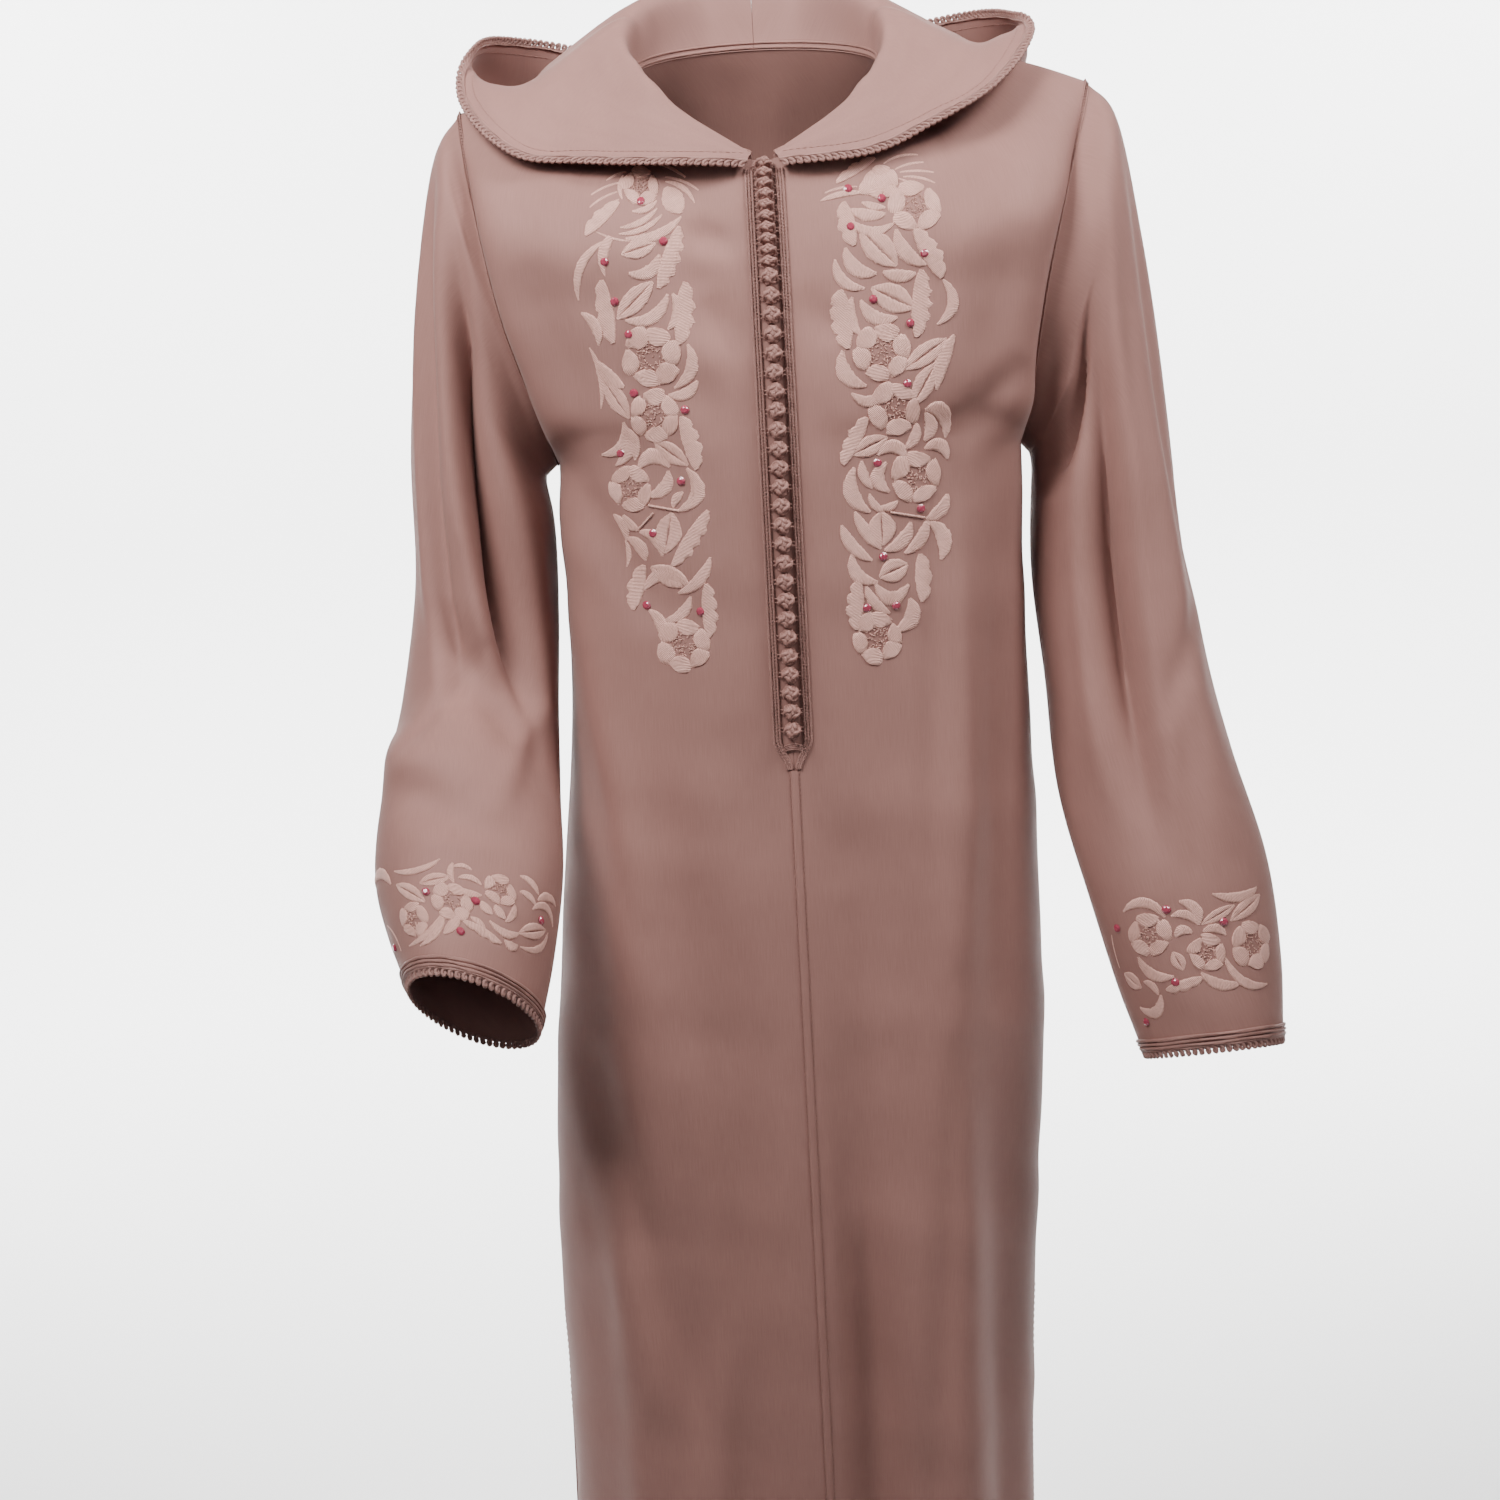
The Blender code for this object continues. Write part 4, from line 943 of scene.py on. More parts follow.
def section_points(row, across, side):
    """Points on one section of a panel, from the middle to the side edge."""
    right, left, side_y, side_z, mid_y, mid_z = row
    turn = 0.5 * np.pi * across
    reach = np.where(across < 1, np.cos(turn), 0.0)
    x = side * (right if side == RIGHT else left) * np.sin(turn)
    y = side_y + (mid_y - side_y) * reach ** FLATNESS
    z = side_z + (mid_z - side_z) * reach ** 2
    return np.stack((x, y, z), axis=1)


def side_edge(levels, side, face):
    """The side edge of a panel: the armhole, then the side seam."""
    ends = np.ones(1)
    edge = [top_edge(ends, side, face)[0]]
    edge += [section_points(row, ends, side)[0] for row in sections(face)]
    lower = through(edge[ARMHOLE_SECTIONS:], levels - ARMHOLE_SECTIONS)
    upper = edge[:ARMHOLE_SECTIONS + 1]
    mirror = np.array((1, -1, 1))
    beyond = [upper[1] * mirror] + upper + [upper[-2] * mirror]
    above = through(beyond, levels + 1)
    return np.where((levels >= ARMHOLE_SECTIONS)[:, None], lower, above)


def hanging_folds(x, z, face):
    """How far the hanging folds push a panel out at x and z."""
    total = np.zeros_like(x)
    for x_top, x_hem, starts, opens, half, depth in PANEL_FOLDS[face]:
        share = np.clip((z - starts) / (HEM_Z - starts), 0.0, 1.0)
        middle = x_top + (x_hem - x_top) * share
        strength = smooth((z - starts) / (opens - starts))
        total += depth * strength * np.exp(-((x - middle) / half) ** 2)
    return total


def creases(x, z, rows):
    """How far soft creases along lines push the cloth out, each with a low lip."""
    total = np.zeros_like(x)
    for x_1, z_1, x_2, z_2, half, depth in rows:
        way = np.array((x_2 - x_1, z_2 - z_1))
        length = np.linalg.norm(way)
        along = ((x - x_1) * way[0] + (z - z_1) * way[1]) / length ** 2
        apart = ((x - x_1) * way[1] - (z - z_1) * way[0]) / length
        fade = np.sin(np.pi * np.clip(along, 0.0, 1.0)) ** CREASE_FADE
        lip = CREASE_LIP * np.exp(-((apart - CREASE_LIP_AWAY * half) / half) ** 2)
        total += depth * fade * (np.exp(-(apart / half) ** 2) - lip)
    return total


def low_waves(x, z):
    """The slow unevenness of hanging cloth."""
    total = np.zeros_like(x)
    for along_x, along_z, phase, height in WAVES:
        turn = 2 * np.pi * (along_x * x + along_z * z) + phase
        total += height * np.sin(turn + WAVE_BEND * np.sin(2 * np.pi * along_z * z + phase))
    return total


def grid_inward(grid, flip, closed=False):
    """Directions across the cloth, from the outside to the inside of a grid."""
    if closed:
        along = np.roll(grid, -1, axis=1) - np.roll(grid, 1, axis=1)
    else:
        along = np.gradient(grid, axis=1)
    down = np.gradient(grid, axis=0)
    return unit(np.cross(along, down) * flip)


def armhole_inward(points, side):
    """Across the cloth at the armhole seam and the side seam."""
    middle = np.array((side * ARMHOLE_MIDDLE_OUT, 0.0, ARMHOLE_MIDDLE_Z))
    share = smooth((UNDERARM_Z - points[:, 2:]) / SIDE_SEAM_TURN)
    return unit(unit(middle - points) * (1 - share) + np.array((-side, 0.0, 0.0)) * share)


def shoulder_inward(across, points, side):
    """Across the cloth at the shoulder seam, turning at its two ends."""
    near_tip = smooth((across - 1.0 + SHOULDER_TIP_TURN) / SHOULDER_TIP_TURN)[:, None]
    near_neck = smooth((NECK_SHARE + SHOULDER_NECK_TURN - across) / SHOULDER_NECK_TURN)[:, None]
    middle = np.array((0.0, 0.0, -1.0)) * (1 - near_tip) + armhole_inward(points, side) * near_tip
    return unit(middle * (1 - near_neck) + neck_inward(neckline(90.0, side)) * near_neck)


def seam_away(tangent, inward, towards):
    """Straight away from a seam, within the cloth, on the side of towards."""
    away = unit(np.cross(tangent, inward))
    return away * np.sign(np.sum(away * towards, axis=-1, keepdims=True))


def panel_places():
    """Places across half a panel and section numbers of its rows."""
    beside_neck = np.linspace(0.0, NECK_SHARE, NECK_COLUMNS + 1)
    shoulder = np.linspace(NECK_SHARE, 1.0, SHOULDER_COLUMNS + 1)[1:]
    upper = np.linspace(0.0, ARMHOLE_SECTIONS, ARMHOLE_ROWS + 1)
    lower = np.linspace(ARMHOLE_SECTIONS, len(FRONT_SECTIONS), SKIRT_ROWS + 1)[1:]
    return np.concatenate((beside_neck, shoulder)), np.concatenate((upper, lower))


def plain_panel(face, side):
    """Half a panel with its hanging folds, before its creases."""
    across, levels = panel_places()
    columns = [top_edge(across, side, face)]
    columns += [section_points(row, across, side) for row in sections(face)]
    columns = np.array(columns)
    grid = through(columns, levels)
    edge_miss = side_edge(levels, side, face) - through(columns[:, -1], levels)
    grid = grid + edge_miss[:, None] * (across ** 3)[None, :, None]
    forward = -1.0 if face == "front" else 1.0
    turn = 0.5 * np.pi * across
    outward = np.stack((side * np.sin(turn), forward * np.cos(turn), 0 * turn), axis=1)
    push = hanging_folds(grid[..., 0], grid[..., 2], face)
    push = push * smooth((1.0 - across) / FOLD_FREE_EDGE)
    grid = grid + outward[None] * push[..., None]
    inset = SLIT_FRONT_INSET if face == "front" else SLIT_BACK_INSET
    share = np.clip((grid[..., 2] - SLIT_TOP_Z) / (HEM_Z - SLIT_TOP_Z), 0.0, 1.0)
    near_edge = smooth((across - 1.0 + SLIT_SHARE) / SLIT_SHARE)
    pull = np.array((-SLIT_PULL_IN * side, forward, 0.0))
    return grid + pull * (inset * share ** SLIT_CURVE * near_edge)[..., None]


def half_panel(face, side):
    """Outer points and inward directions of half a panel."""
    across, levels = panel_places()
    grid = plain_panel(face, side)
    flip = side * (1 if face == "front" else -1)
    inward = grid_inward(grid, flip)
    hold = smooth((1.0 - across) / SEAM_HOLD)[None, :] * smooth(levels / TOP_HOLD)[:, None]
    if face == "front":
        hold = hold * smooth(across / FRONT_EDGE_HOLD)[None, :]
    x, z = grid[..., 0], grid[..., 2]
    push = creases(x, z, PANEL_CREASES[face]) + low_waves(x, z)
    grid = grid - inward * (push * hold)[..., None]
    inward = grid_inward(grid, flip)
    inward[:, 0, 0] = 0.0
    inward[:, 0] = unit(inward[:, 0])
    inward[:, -1] = armhole_inward(grid[:, -1], side)
    beside_neck = across <= NECK_SHARE
    inward[0, beside_neck] = neck_inward(grid[0, beside_neck])
    inward[0, ~beside_neck] = shoulder_inward(across[~beside_neck], grid[0, ~beside_neck], side)
    half = 0.5 * SEAM_GAP
    forward = -1.0 if face == "front" else 1.0
    if face == "front":
        grid[:, 0, 0] += side * half
    grid[0, NECK_COLUMNS:, 1] += forward * half
    grid[ARMHOLE_ROWS:, -1, 1] += forward * half
    rows = slice(1, ARMHOLE_ROWS)
    tangents = grid[2:ARMHOLE_ROWS + 1, -1] - grid[:ARMHOLE_ROWS - 1, -1]
    towards = grid[2:ARMHOLE_ROWS + 1, -2] - grid[rows, -1]
    grid[rows, -1] += seam_away(tangents, inward[rows, -1], towards) * half
    return grid, inward


def whole_back():
    """Outer points and inward directions of the back, in one piece."""
    right_grid, right_inward = half_panel("back", RIGHT)
    left_grid, left_inward = half_panel("back", LEFT)
    grid = np.concatenate((right_grid[:, :0:-1], left_grid), axis=1)
    inward = np.concatenate((right_inward[:, :0:-1], left_inward), axis=1)
    return grid, inward


def armhole_loop(side):
    """The armhole's points, from the underarm over the front and the tip."""
    levels = panel_places()[1][:ARMHOLE_ROWS + 1]
    front = side_edge(levels, side, "front")
    back = side_edge(levels, side, "back")
    return np.concatenate((front[::-1], back[1:-1]))


def sleeve_ring(row, side, angles):
    """One ring of a sleeve from its table row."""
    out, fore, z, wide, deep, slant, pitch = row
    lean = math.radians(slant)
    nod = math.radians(pitch)
    across = np.array((side * math.cos(lean), 0.0, math.sin(lean)))
    ahead = np.array((0.0, -math.cos(nod), math.sin(nod)))
    centre = np.array((side * out, -fore, z))
    turns = np.radians(angles)[:, None]
    return centre + across * wide * np.cos(turns) + ahead * deep * np.sin(turns)


def sleeve_push(angles, steps, side):
    """How far the sleeve's folds and waves push it out, at each ring and angle."""
    ring = steps[:, None]
    total = np.zeros((len(steps), len(angles)))
    for start, end, angle_1, angle_2, half, depth in SLEEVE_FOLDS[side]:
        share = np.clip((ring - start) / (end - start), 0.0, 1.0)
        middle = angle_1 + (angle_2 - angle_1) * share
        apart = (angles[None, :] - middle + 180.0) % 360.0 - 180.0
        total += depth * np.sin(np.pi * share) * np.exp(-(apart / half) ** 2)
    waves = np.zeros_like(total)
    for along, turns, phase, height in SLEEVE_WAVES:
        waves += height * np.sin(along * ring + np.radians(angles)[None, :] * turns + phase)
    free = smooth(ring / SLEEVE_WAVE_FADE) * smooth((steps[-1] - ring) / SLEEVE_WAVE_FADE)
    return total + waves * free


def sleeve_angles():
    """The angle round the arm of each of a sleeve's columns."""
    count = 2 * ARMHOLE_ROWS
    return 180.0 - 360.0 * np.arange(count) / count


def sleeve_grid(side):
    """Outer points and inward directions of a sleeve, ring by ring."""
    loop = armhole_loop(side)
    angles = sleeve_angles()
    table = np.array([row[1:] for row in SLEEVE_RINGS[side]])
    rings = [loop] + [sleeve_ring(row, side, angles) for row in table]
    steps = np.linspace(0.0, len(table), SLEEVE_ROWS + 1)
    grid = through(rings, steps)
    inward = grid_inward(grid, side, closed=True)
    grid = grid - inward * sleeve_push(angles, steps, side)[..., None]
    inward = grid_inward(grid, side, closed=True)
    inward[0] = armhole_inward(loop, side)
    tangents = np.roll(loop, -1, axis=0) - np.roll(loop, 1, axis=0)
    grid[0] = loop + seam_away(tangents, inward[0], grid[1] - grid[0]) * SEAM_GAP
    return grid, inward


def hood_section(row, side):
    """Points down one section of the hood, from the neckline to the face edge."""
    angle, heading, ridge_out, ridge_z, bottom_out, bottom_z, rim_out, rim_z = row
    start = neckline(angle, side)[0]
    way = np.array((side * math.sin(math.radians(heading)),
                    -math.cos(math.radians(heading)), 0.0))

    def at(out, z):
        """A point this far out of the neckline and this high."""
        return start * np.array((1, 1, 0)) + way * out + np.array((0.0, 0.0, z))

    pouch = smooth((angle - POUCH_START_ANGLE) / (POUCH_FULL_ANGLE - POUCH_START_ANGLE))
    fall_z = ridge_z + (bottom_z - ridge_z) * 0.5
    fall_out = ridge_out + (bottom_out - ridge_out) * (0.5 + POUCH_FALL * pouch)
    swell_z = bottom_z + (rim_z - bottom_z) * 0.5
    swell_out = bottom_out + (rim_out - bottom_out) * (0.5 + POUCH_SWELL * pouch)
    swell_out += POUCH_OUTER * pouch
    return np.array((start, at(ridge_out, ridge_z), at(fall_out, fall_z),
                     at(bottom_out, bottom_z), at(swell_out, swell_z), at(rim_out, rim_z)))


def hood_grid(side):
    """Outer points and inward directions of one half of the hood."""
    table = np.array(HOOD_SECTIONS[side])
    front_angles = np.linspace(HOOD_START_ANGLE, 90.0, HOOD_FRONT_COLUMNS + 1)
    back_angles = np.linspace(90.0, 180.0, HOOD_BACK_COLUMNS + 1)[1:]
    angles = np.concatenate((front_angles, back_angles))
    stations = np.interp(angles, table[:, 0], np.arange(len(table)))
    rows = through(table, stations)
    rows[:, 0] = angles
    places = np.linspace(0, 5, HOOD_ROWS + 1)
    columns = [through(hood_section(row, side), places) for row in rows]
    grid = np.array(columns).transpose(1, 0, 2)
    inward = grid_inward(grid, -side)
    down = np.linspace(0.0, 1.0, HOOD_ROWS + 1)[:, None]
    around = np.radians(angles)[None, :]
    waves = np.zeros((len(down), len(angles)))
    for turns, falls, phase, height in HOOD_WAVES:
        waves += height * np.sin(turns * around * 2 + falls * 2 * np.pi * down + phase)
    free = smooth(down / HOOD_WAVE_FADE_TOP) * smooth((1 - down) / HOOD_WAVE_FADE_EDGE)
    free = free * smooth((around - HOOD_WAVE_START) / HOOD_WAVE_FADE_FRONT)
    free = free * smooth((np.pi - around) / HOOD_WAVE_FADE_BACK)
    grid = grid - inward * (waves * free)[..., None]
    inward = grid_inward(grid, -side)
    seam = neckline(angles, side)
    inward[0] = neck_inward(seam)
    tangents = neckline(angles + 1.0, side) - neckline(angles - 1.0, side)
    grid[0] = seam + unit(np.cross(tangents, inward[0]) * side) * HOOD_SEAM_GAP
    inward[:, -1, 0] = 0.0
    inward[:, -1] = unit(inward[:, -1])
    grid[:, -1, 0] = side * 0.5 * SEAM_GAP
    return grid, inward


def lengths_across(grid):
    """Distance along each row of a grid from its first column."""
    steps = np.linalg.norm(np.diff(grid, axis=1), axis=2)
    return np.concatenate((np.zeros((len(grid), 1)), np.cumsum(steps, axis=1)), axis=1)


def lengths_down(grid):
    """Distance down each column of a grid from its first row."""
    steps = np.linalg.norm(np.diff(grid, axis=0), axis=2)
    return np.concatenate((np.zeros((1, grid.shape[1])), np.cumsum(steps, axis=0)))


class Bundle:
    """Several shapes gathered into the mesh of one piece."""

    def __init__(self):
        """Start empty."""
        self.points = []
        self.faces = []
        self.places = []
        self.count = 0

    def add(self, points, faces, places):
        """Add points, faces as rows of point numbers, and cloth places in metres."""
        self.points.append(points.reshape(-1, 3))
        self.places.append(places.reshape(-1, 2))
        self.faces += [block + self.count for block in faces]
        self.count += len(self.points[-1])

    def piece(self, name, material, flat=False):
        """Make the piece."""
        mesh = bpy.data.meshes.new(name)
        faces = [face for block in self.faces for face in block.tolist()]
        mesh.from_pydata(np.concatenate(self.points).tolist(), [], faces)
        numbers = np.empty(len(mesh.loops), dtype=int)
        mesh.loops.foreach_get("vertex_index", numbers)
        layer = mesh.uv_layers.new(name="cloth_metres")
        layer.data.foreach_set("uv", np.concatenate(self.places)[numbers].ravel())
        if not flat:
            mesh.shade_smooth()
            mesh.set_sharp_from_angle(angle=math.radians(SHARP_ANGLE))
        mesh.materials.append(material)
        item = bpy.data.objects.new(name, mesh)
        bpy.context.scene.collection.objects.link(item)
        return item


def grid_faces(rows, columns, start=0, closed=False, reverse=False):
    """Four-sided faces of a grid of points."""
    numbers = np.arange(rows * columns).reshape(rows, columns) + start
    right = np.roll(numbers, -1, axis=1)
    if not closed:
        numbers, right = numbers[:, :-1], right[:, :-1]
    faces = np.stack((numbers[:-1], numbers[1:], right[1:], right[:-1]), axis=-1)
    faces = faces.reshape(-1, 4)
    return faces[:, ::-1] if reverse else faces


def end_faces(rings, sides):
    """The faces that close a tube's first and last ring."""
    ring = np.arange(sides)[None, :]
    return [ring, ring[:, ::-1] + (rings - 1) * sides]


def cloth_shell(bundle, outer, inner, closed=False, reverse=False):
    """A thin closed shell between an outer and an inner grid of points."""
    rows, columns = outer.shape[:2]
    shift = rows * columns
    numbers = np.arange(shift).reshape(rows, columns)
    faces = [grid_faces(rows, columns, 0, closed, reverse),
             grid_faces(rows, columns, shift, closed, not reverse)]
    borders = [(numbers[0], False), (numbers[-1], True)]
    if not closed:
        borders += [(numbers[:, 0], True), (numbers[:, -1], False)]
    for line, turned in borders:
        ahead = np.roll(line, -1)
        if not (closed and len(line) == columns):
            line, ahead = line[:-1], ahead[:-1]
        rim = np.stack((line, ahead, ahead + shift, line + shift), axis=1)
        faces.append(rim[:, ::-1] if turned != reverse else rim)
    across = lengths_across(outer)
    down = np.broadcast_to(lengths_down(outer).mean(axis=1)[:, None], across.shape)
    places = np.stack((across, down), axis=-1).reshape(-1, 2)
    bundle.add(np.concatenate((outer.reshape(-1, 3), inner.reshape(-1, 3))), faces,
               np.concatenate((places, places)))


def cloth_piece(name, grid, inward, thick, material, closed=False, reverse=False):
    """One cut piece of cloth."""
    bundle = Bundle()
    cloth_shell(bundle, grid, grid + inward * thick, closed, reverse)
    return bundle.piece(name, material)


def distances_along(points):
    """Distance along a line of points from its first."""
    steps = np.linalg.norm(np.diff(points, axis=0), axis=1)
    return np.concatenate(([0.0], np.cumsum(steps)))


def tube(bundle, points, ups, radius, sides=7, oval=0.0, pitch=0.004, closed=False):
    """A cord along points; an oval section turns along it like two twisted plies."""
    points = np.asarray(points, float)
    if closed:
        ways = np.roll(points, -1, axis=0) - np.roll(points, 1, axis=0)
    else:
        ways = np.gradient(points, axis=0)
    ways = unit(ways)
    sideways = unit(np.cross(ways, ups))
    upright = np.cross(sideways, ways)
    along = distances_along(points)
    turns = 2 * np.pi * np.arange(sides) / sides
    swell = 1.0 + oval * np.cos(2 * (turns[None, :] - 2 * np.pi * along[:, None] / (2 * pitch)))
    reach = radius * swell
    ring = (sideways[:, None] * (reach * np.cos(turns))[..., None]
            + upright[:, None] * (reach * np.sin(turns))[..., None])
    places = np.stack(np.broadcast_arrays(radius * turns[None, :], along[:, None]), axis=-1)
    faces = [grid_faces(len(points), sides, 0, True)]
    if closed:
        last = np.arange(sides) + (len(points) - 1) * sides
        first = np.arange(sides)
        faces.append(np.stack((last, first, np.roll(first, -1), np.roll(last, -1)), axis=1))
    else:
        faces += end_faces(len(points), sides)
    bundle.add(points[:, None] + ring, faces, places)


def stitches(bundle, starts, ends, ups, wide, high, sides=6):
    """Many short plump stitches, each from its start to its end."""
    starts, ends = np.asarray(starts, float), np.asarray(ends, float)
    ways = ends - starts
    lengths = np.linalg.norm(ways, axis=1)
    sideways = unit(np.cross(ways, ups))
    upright = unit(np.cross(sideways, ways))
    shares = np.array(STITCH_SHARES)
    fullness = np.array(STITCH_FULLNESS)
    turns = 2 * np.pi * np.arange(sides) / sides
    middle = starts[:, None] + ways[:, None] * shares[None, :, None]
    ring = (sideways[:, None, None] * (0.5 * wide * (fullness[:, None] * np.cos(turns))[..., None])
            + upright[:, None, None] * (0.5 * high * (fullness[:, None] * np.sin(turns))[..., None]))
    points = middle[:, :, None] + ring
    rings = len(shares)
    firsts = (np.arange(len(starts)) * rings * sides)[:, None, None]
    walls = (grid_faces(rings, sides, 0, True)[None] + firsts).reshape(-1, 4)
    near, far = ((ring + firsts[:, 0]).reshape(-1, sides) for ring in end_faces(rings, sides))
    places = np.stack(np.broadcast_arrays(turns[None, None, :] * STITCH_ROUND,
                                          (lengths[:, None] * shares[None])[..., None]), axis=-1)
    bundle.add(points, [walls, near, far], places)


class Surface:
    """A cloth grid that trims and stitches are laid on."""

    def __init__(self, grid, inward, closed=False):
        """Measure the grid once; closed joins its last column to its first."""
        self.grid = grid
        self.inward = inward
        self.closed = closed
        self.down = lengths_down(grid)
        self.across = lengths_across(grid)

    def read(self, rows, columns, lift=0.0):
        """Points at rows and columns, raised off the cloth, with their outward directions."""
        rows, columns = np.broadcast_arrays(np.asarray(rows, float), np.asarray(columns, float))
        height, width = self.grid.shape[:2]
        low = np.clip(np.floor(rows).astype(int), 0, height - 2)
        near = np.floor(columns).astype(int)
        if not self.closed:
            near = np.clip(near, 0, width - 2)
        share_down = (rows - low)[..., None]
        share_across = (columns - near)[..., None]
        near, far = near % width, (near + 1) % width

        def between(values):
            """The grid's values at the asked rows and columns."""
            upper = values[low, near] * (1 - share_across) + values[low, far] * share_across
            lower = values[low + 1, near] * (1 - share_across)
            lower = lower + values[low + 1, far] * share_across
            return upper * (1 - share_down) + lower * share_down

        up = -unit(between(self.inward))
        return between(self.grid) + up * np.asarray(lift)[..., None], up

    def rows_at(self, distances, columns, from_end=False):
        """Row numbers at distances down columns, from the first or the last row."""
        distances, columns = np.broadcast_arrays(np.asarray(distances, float),
                                                 np.asarray(columns, float))
        numbers = np.arange(len(self.grid))
        width = self.grid.shape[1]
        found = []
        for distance, column in zip(distances.ravel(), columns.ravel()):
            near = int(math.floor(column))
            far = near + 1
            if self.closed:
                near, far = near % width, far % width
            else:
                near, far = min(near, width - 1), min(far, width - 1)
            share = column - math.floor(column)
            line = self.down[:, near] * (1 - share) + self.down[:, far] * share
            found.append(np.interp(line[-1] - distance if from_end else distance, line, numbers))
        return np.array(found).reshape(distances.shape)

    def middle_line(self, distances, outs, lift=0.0):
        """Points at distances down the first column and lengths out from it."""
        distances, outs = np.broadcast_arrays(np.asarray(distances, float), np.asarray(outs, float))
        rows = np.interp(distances, self.down[:, 0], np.arange(len(self.grid)))
        numbers = np.arange(self.grid.shape[1])
        columns = [np.interp(out, self.across[int(row)], numbers)
                   for row, out in zip(rows.ravel(), outs.ravel())]
        return self.read(rows, np.array(columns).reshape(rows.shape), lift)


def turned_over(grid, inward, thick):
    """The other face of a cloth as a surface."""
    return Surface(grid + inward * thick, -inward)


def even_places(points, spacing, closed=False):
    """Fractional numbers of evenly spaced places along a line of points."""
    line = np.concatenate((points, points[:1])) if closed else points
    along = distances_along(line)
    count = max(int(round(along[-1] / spacing)), 2)
    marks = np.linspace(0.0, along[-1], count + 1)
    if closed:
        marks = marks[:-1]
    return np.interp(marks, along, np.arange(len(line)))


def running_stitches(bundle, points, ups, cover, wide, high):
    """Short stitches between the points of a line, each covering a share of its step."""
    ways = points[1:] - points[:-1]
    starts = points[:-1] + ways * 0.5 * (1 - cover)
    stitches(bundle, starts, starts + ways * cover, ups[:-1], wide, high)


def braid_edges(mark):
    """How far from the middle the braid's two edges lie at a distance down the slit."""
    closing = smooth((mark - BRAID_END + BRAID_POINT) / BRAID_POINT)
    start = BRAID_INNER + (BRAID_CLOSED - BRAID_INNER) * closing
    return start, start + BRAID_WIDTH * (1 - BRAID_NARROWING * closing)


def braid(surface, name, finishes):
    """The flat braid beside the knots: three chained cords on a woven ground."""
    bundle = Bundle()
    marks = np.arange(BRAID_START, BRAID_END, BRAID_STEP)
    near, far = braid_edges(marks)
    base, top = (np.array([surface.middle_line(marks, near + (far - near) * share, lift)[0]
                           for share in BRAID_GROUND_PLACES]).transpose(1, 0, 2)
                 for lift in BRAID_GROUND_LIFTS)
    cloth_shell(bundle, top, base, reverse=name.endswith("right"))
    slants = np.arange(BRAID_START + BRAID_CHAIN_START, BRAID_END - BRAID_CHAIN_END, BRAID_PITCH)
    start, end = braid_edges(slants)
    reach = BRAID_LEAN * (end - start)
    for number, share in enumerate(BRAID_CORDS):
        line, ups = surface.middle_line(marks, near + (far - near) * share, BRAID_CORD_LIFT)
        tube(bundle, line, ups, BRAID_CORD, oval=0.25, pitch=0.0021)
        lean = reach if number % 2 else -reach
        middle = start + (end - start) * share
        starts, ups = surface.middle_line(slants, middle - lean, BRAID_CHAIN_LIFT)
        ends, _ = surface.middle_line(slants + BRAID_SLANT, middle + lean, BRAID_CHAIN_LIFT)
        stitches(bundle, starts, ends, ups, BRAID_CHAIN_WIDE, BRAID_CHAIN_HIGH)
    return bundle.piece(name, finishes["braid"])


def button_marks():
    """Each knot's distance from the neckline, and its half height."""
    squeezed = [FIRST_BUTTON + i * SQUEEZED_PITCH for i in range(SQUEEZED_BUTTONS)]
    free = BUTTON_COUNT - SQUEEZED_BUTTONS
    start = squeezed[-1] + SQUEEZED_HALF_HEIGHT + BUTTON_RADIUS + 2 * SEAM_GAP
    marks = [(mark, SQUEEZED_HALF_HEIGHT) for mark in squeezed]
    marks += [(mark, BUTTON_RADIUS) for mark in np.linspace(start, LAST_BUTTON, free)]
    return marks


def knot_line():
    """A woven ball knot's cord as directions from its middle and over-under heights."""
    t = 2 * np.pi * np.arange(KNOT_POINTS) / KNOT_POINTS
    around = KNOT_LEADS * t
    rise = math.radians(KNOT_RISE) * np.cos(KNOT_BIGHTS * t)
    ways = np.stack((np.cos(rise) * np.cos(around), np.cos(rise) * np.sin(around),
                     np.sin(rise)), axis=1)
    return ways, np.sin(2 * KNOT_BIGHTS * t)


def knot_core():
    """Points of a ball inside a knot, ring by ring, at radius 1."""
    turns = np.linspace(0.0, 2 * np.pi, KNOT_CORE_SIDES + 1)[:-1]
    levels = np.radians(np.linspace(-KNOT_CORE_END, KNOT_CORE_END, KNOT_CORE_RINGS))
    return np.array([[(math.cos(v) * math.cos(u), math.cos(v) * math.sin(u), math.sin(v))
                      for u in turns] for v in levels])


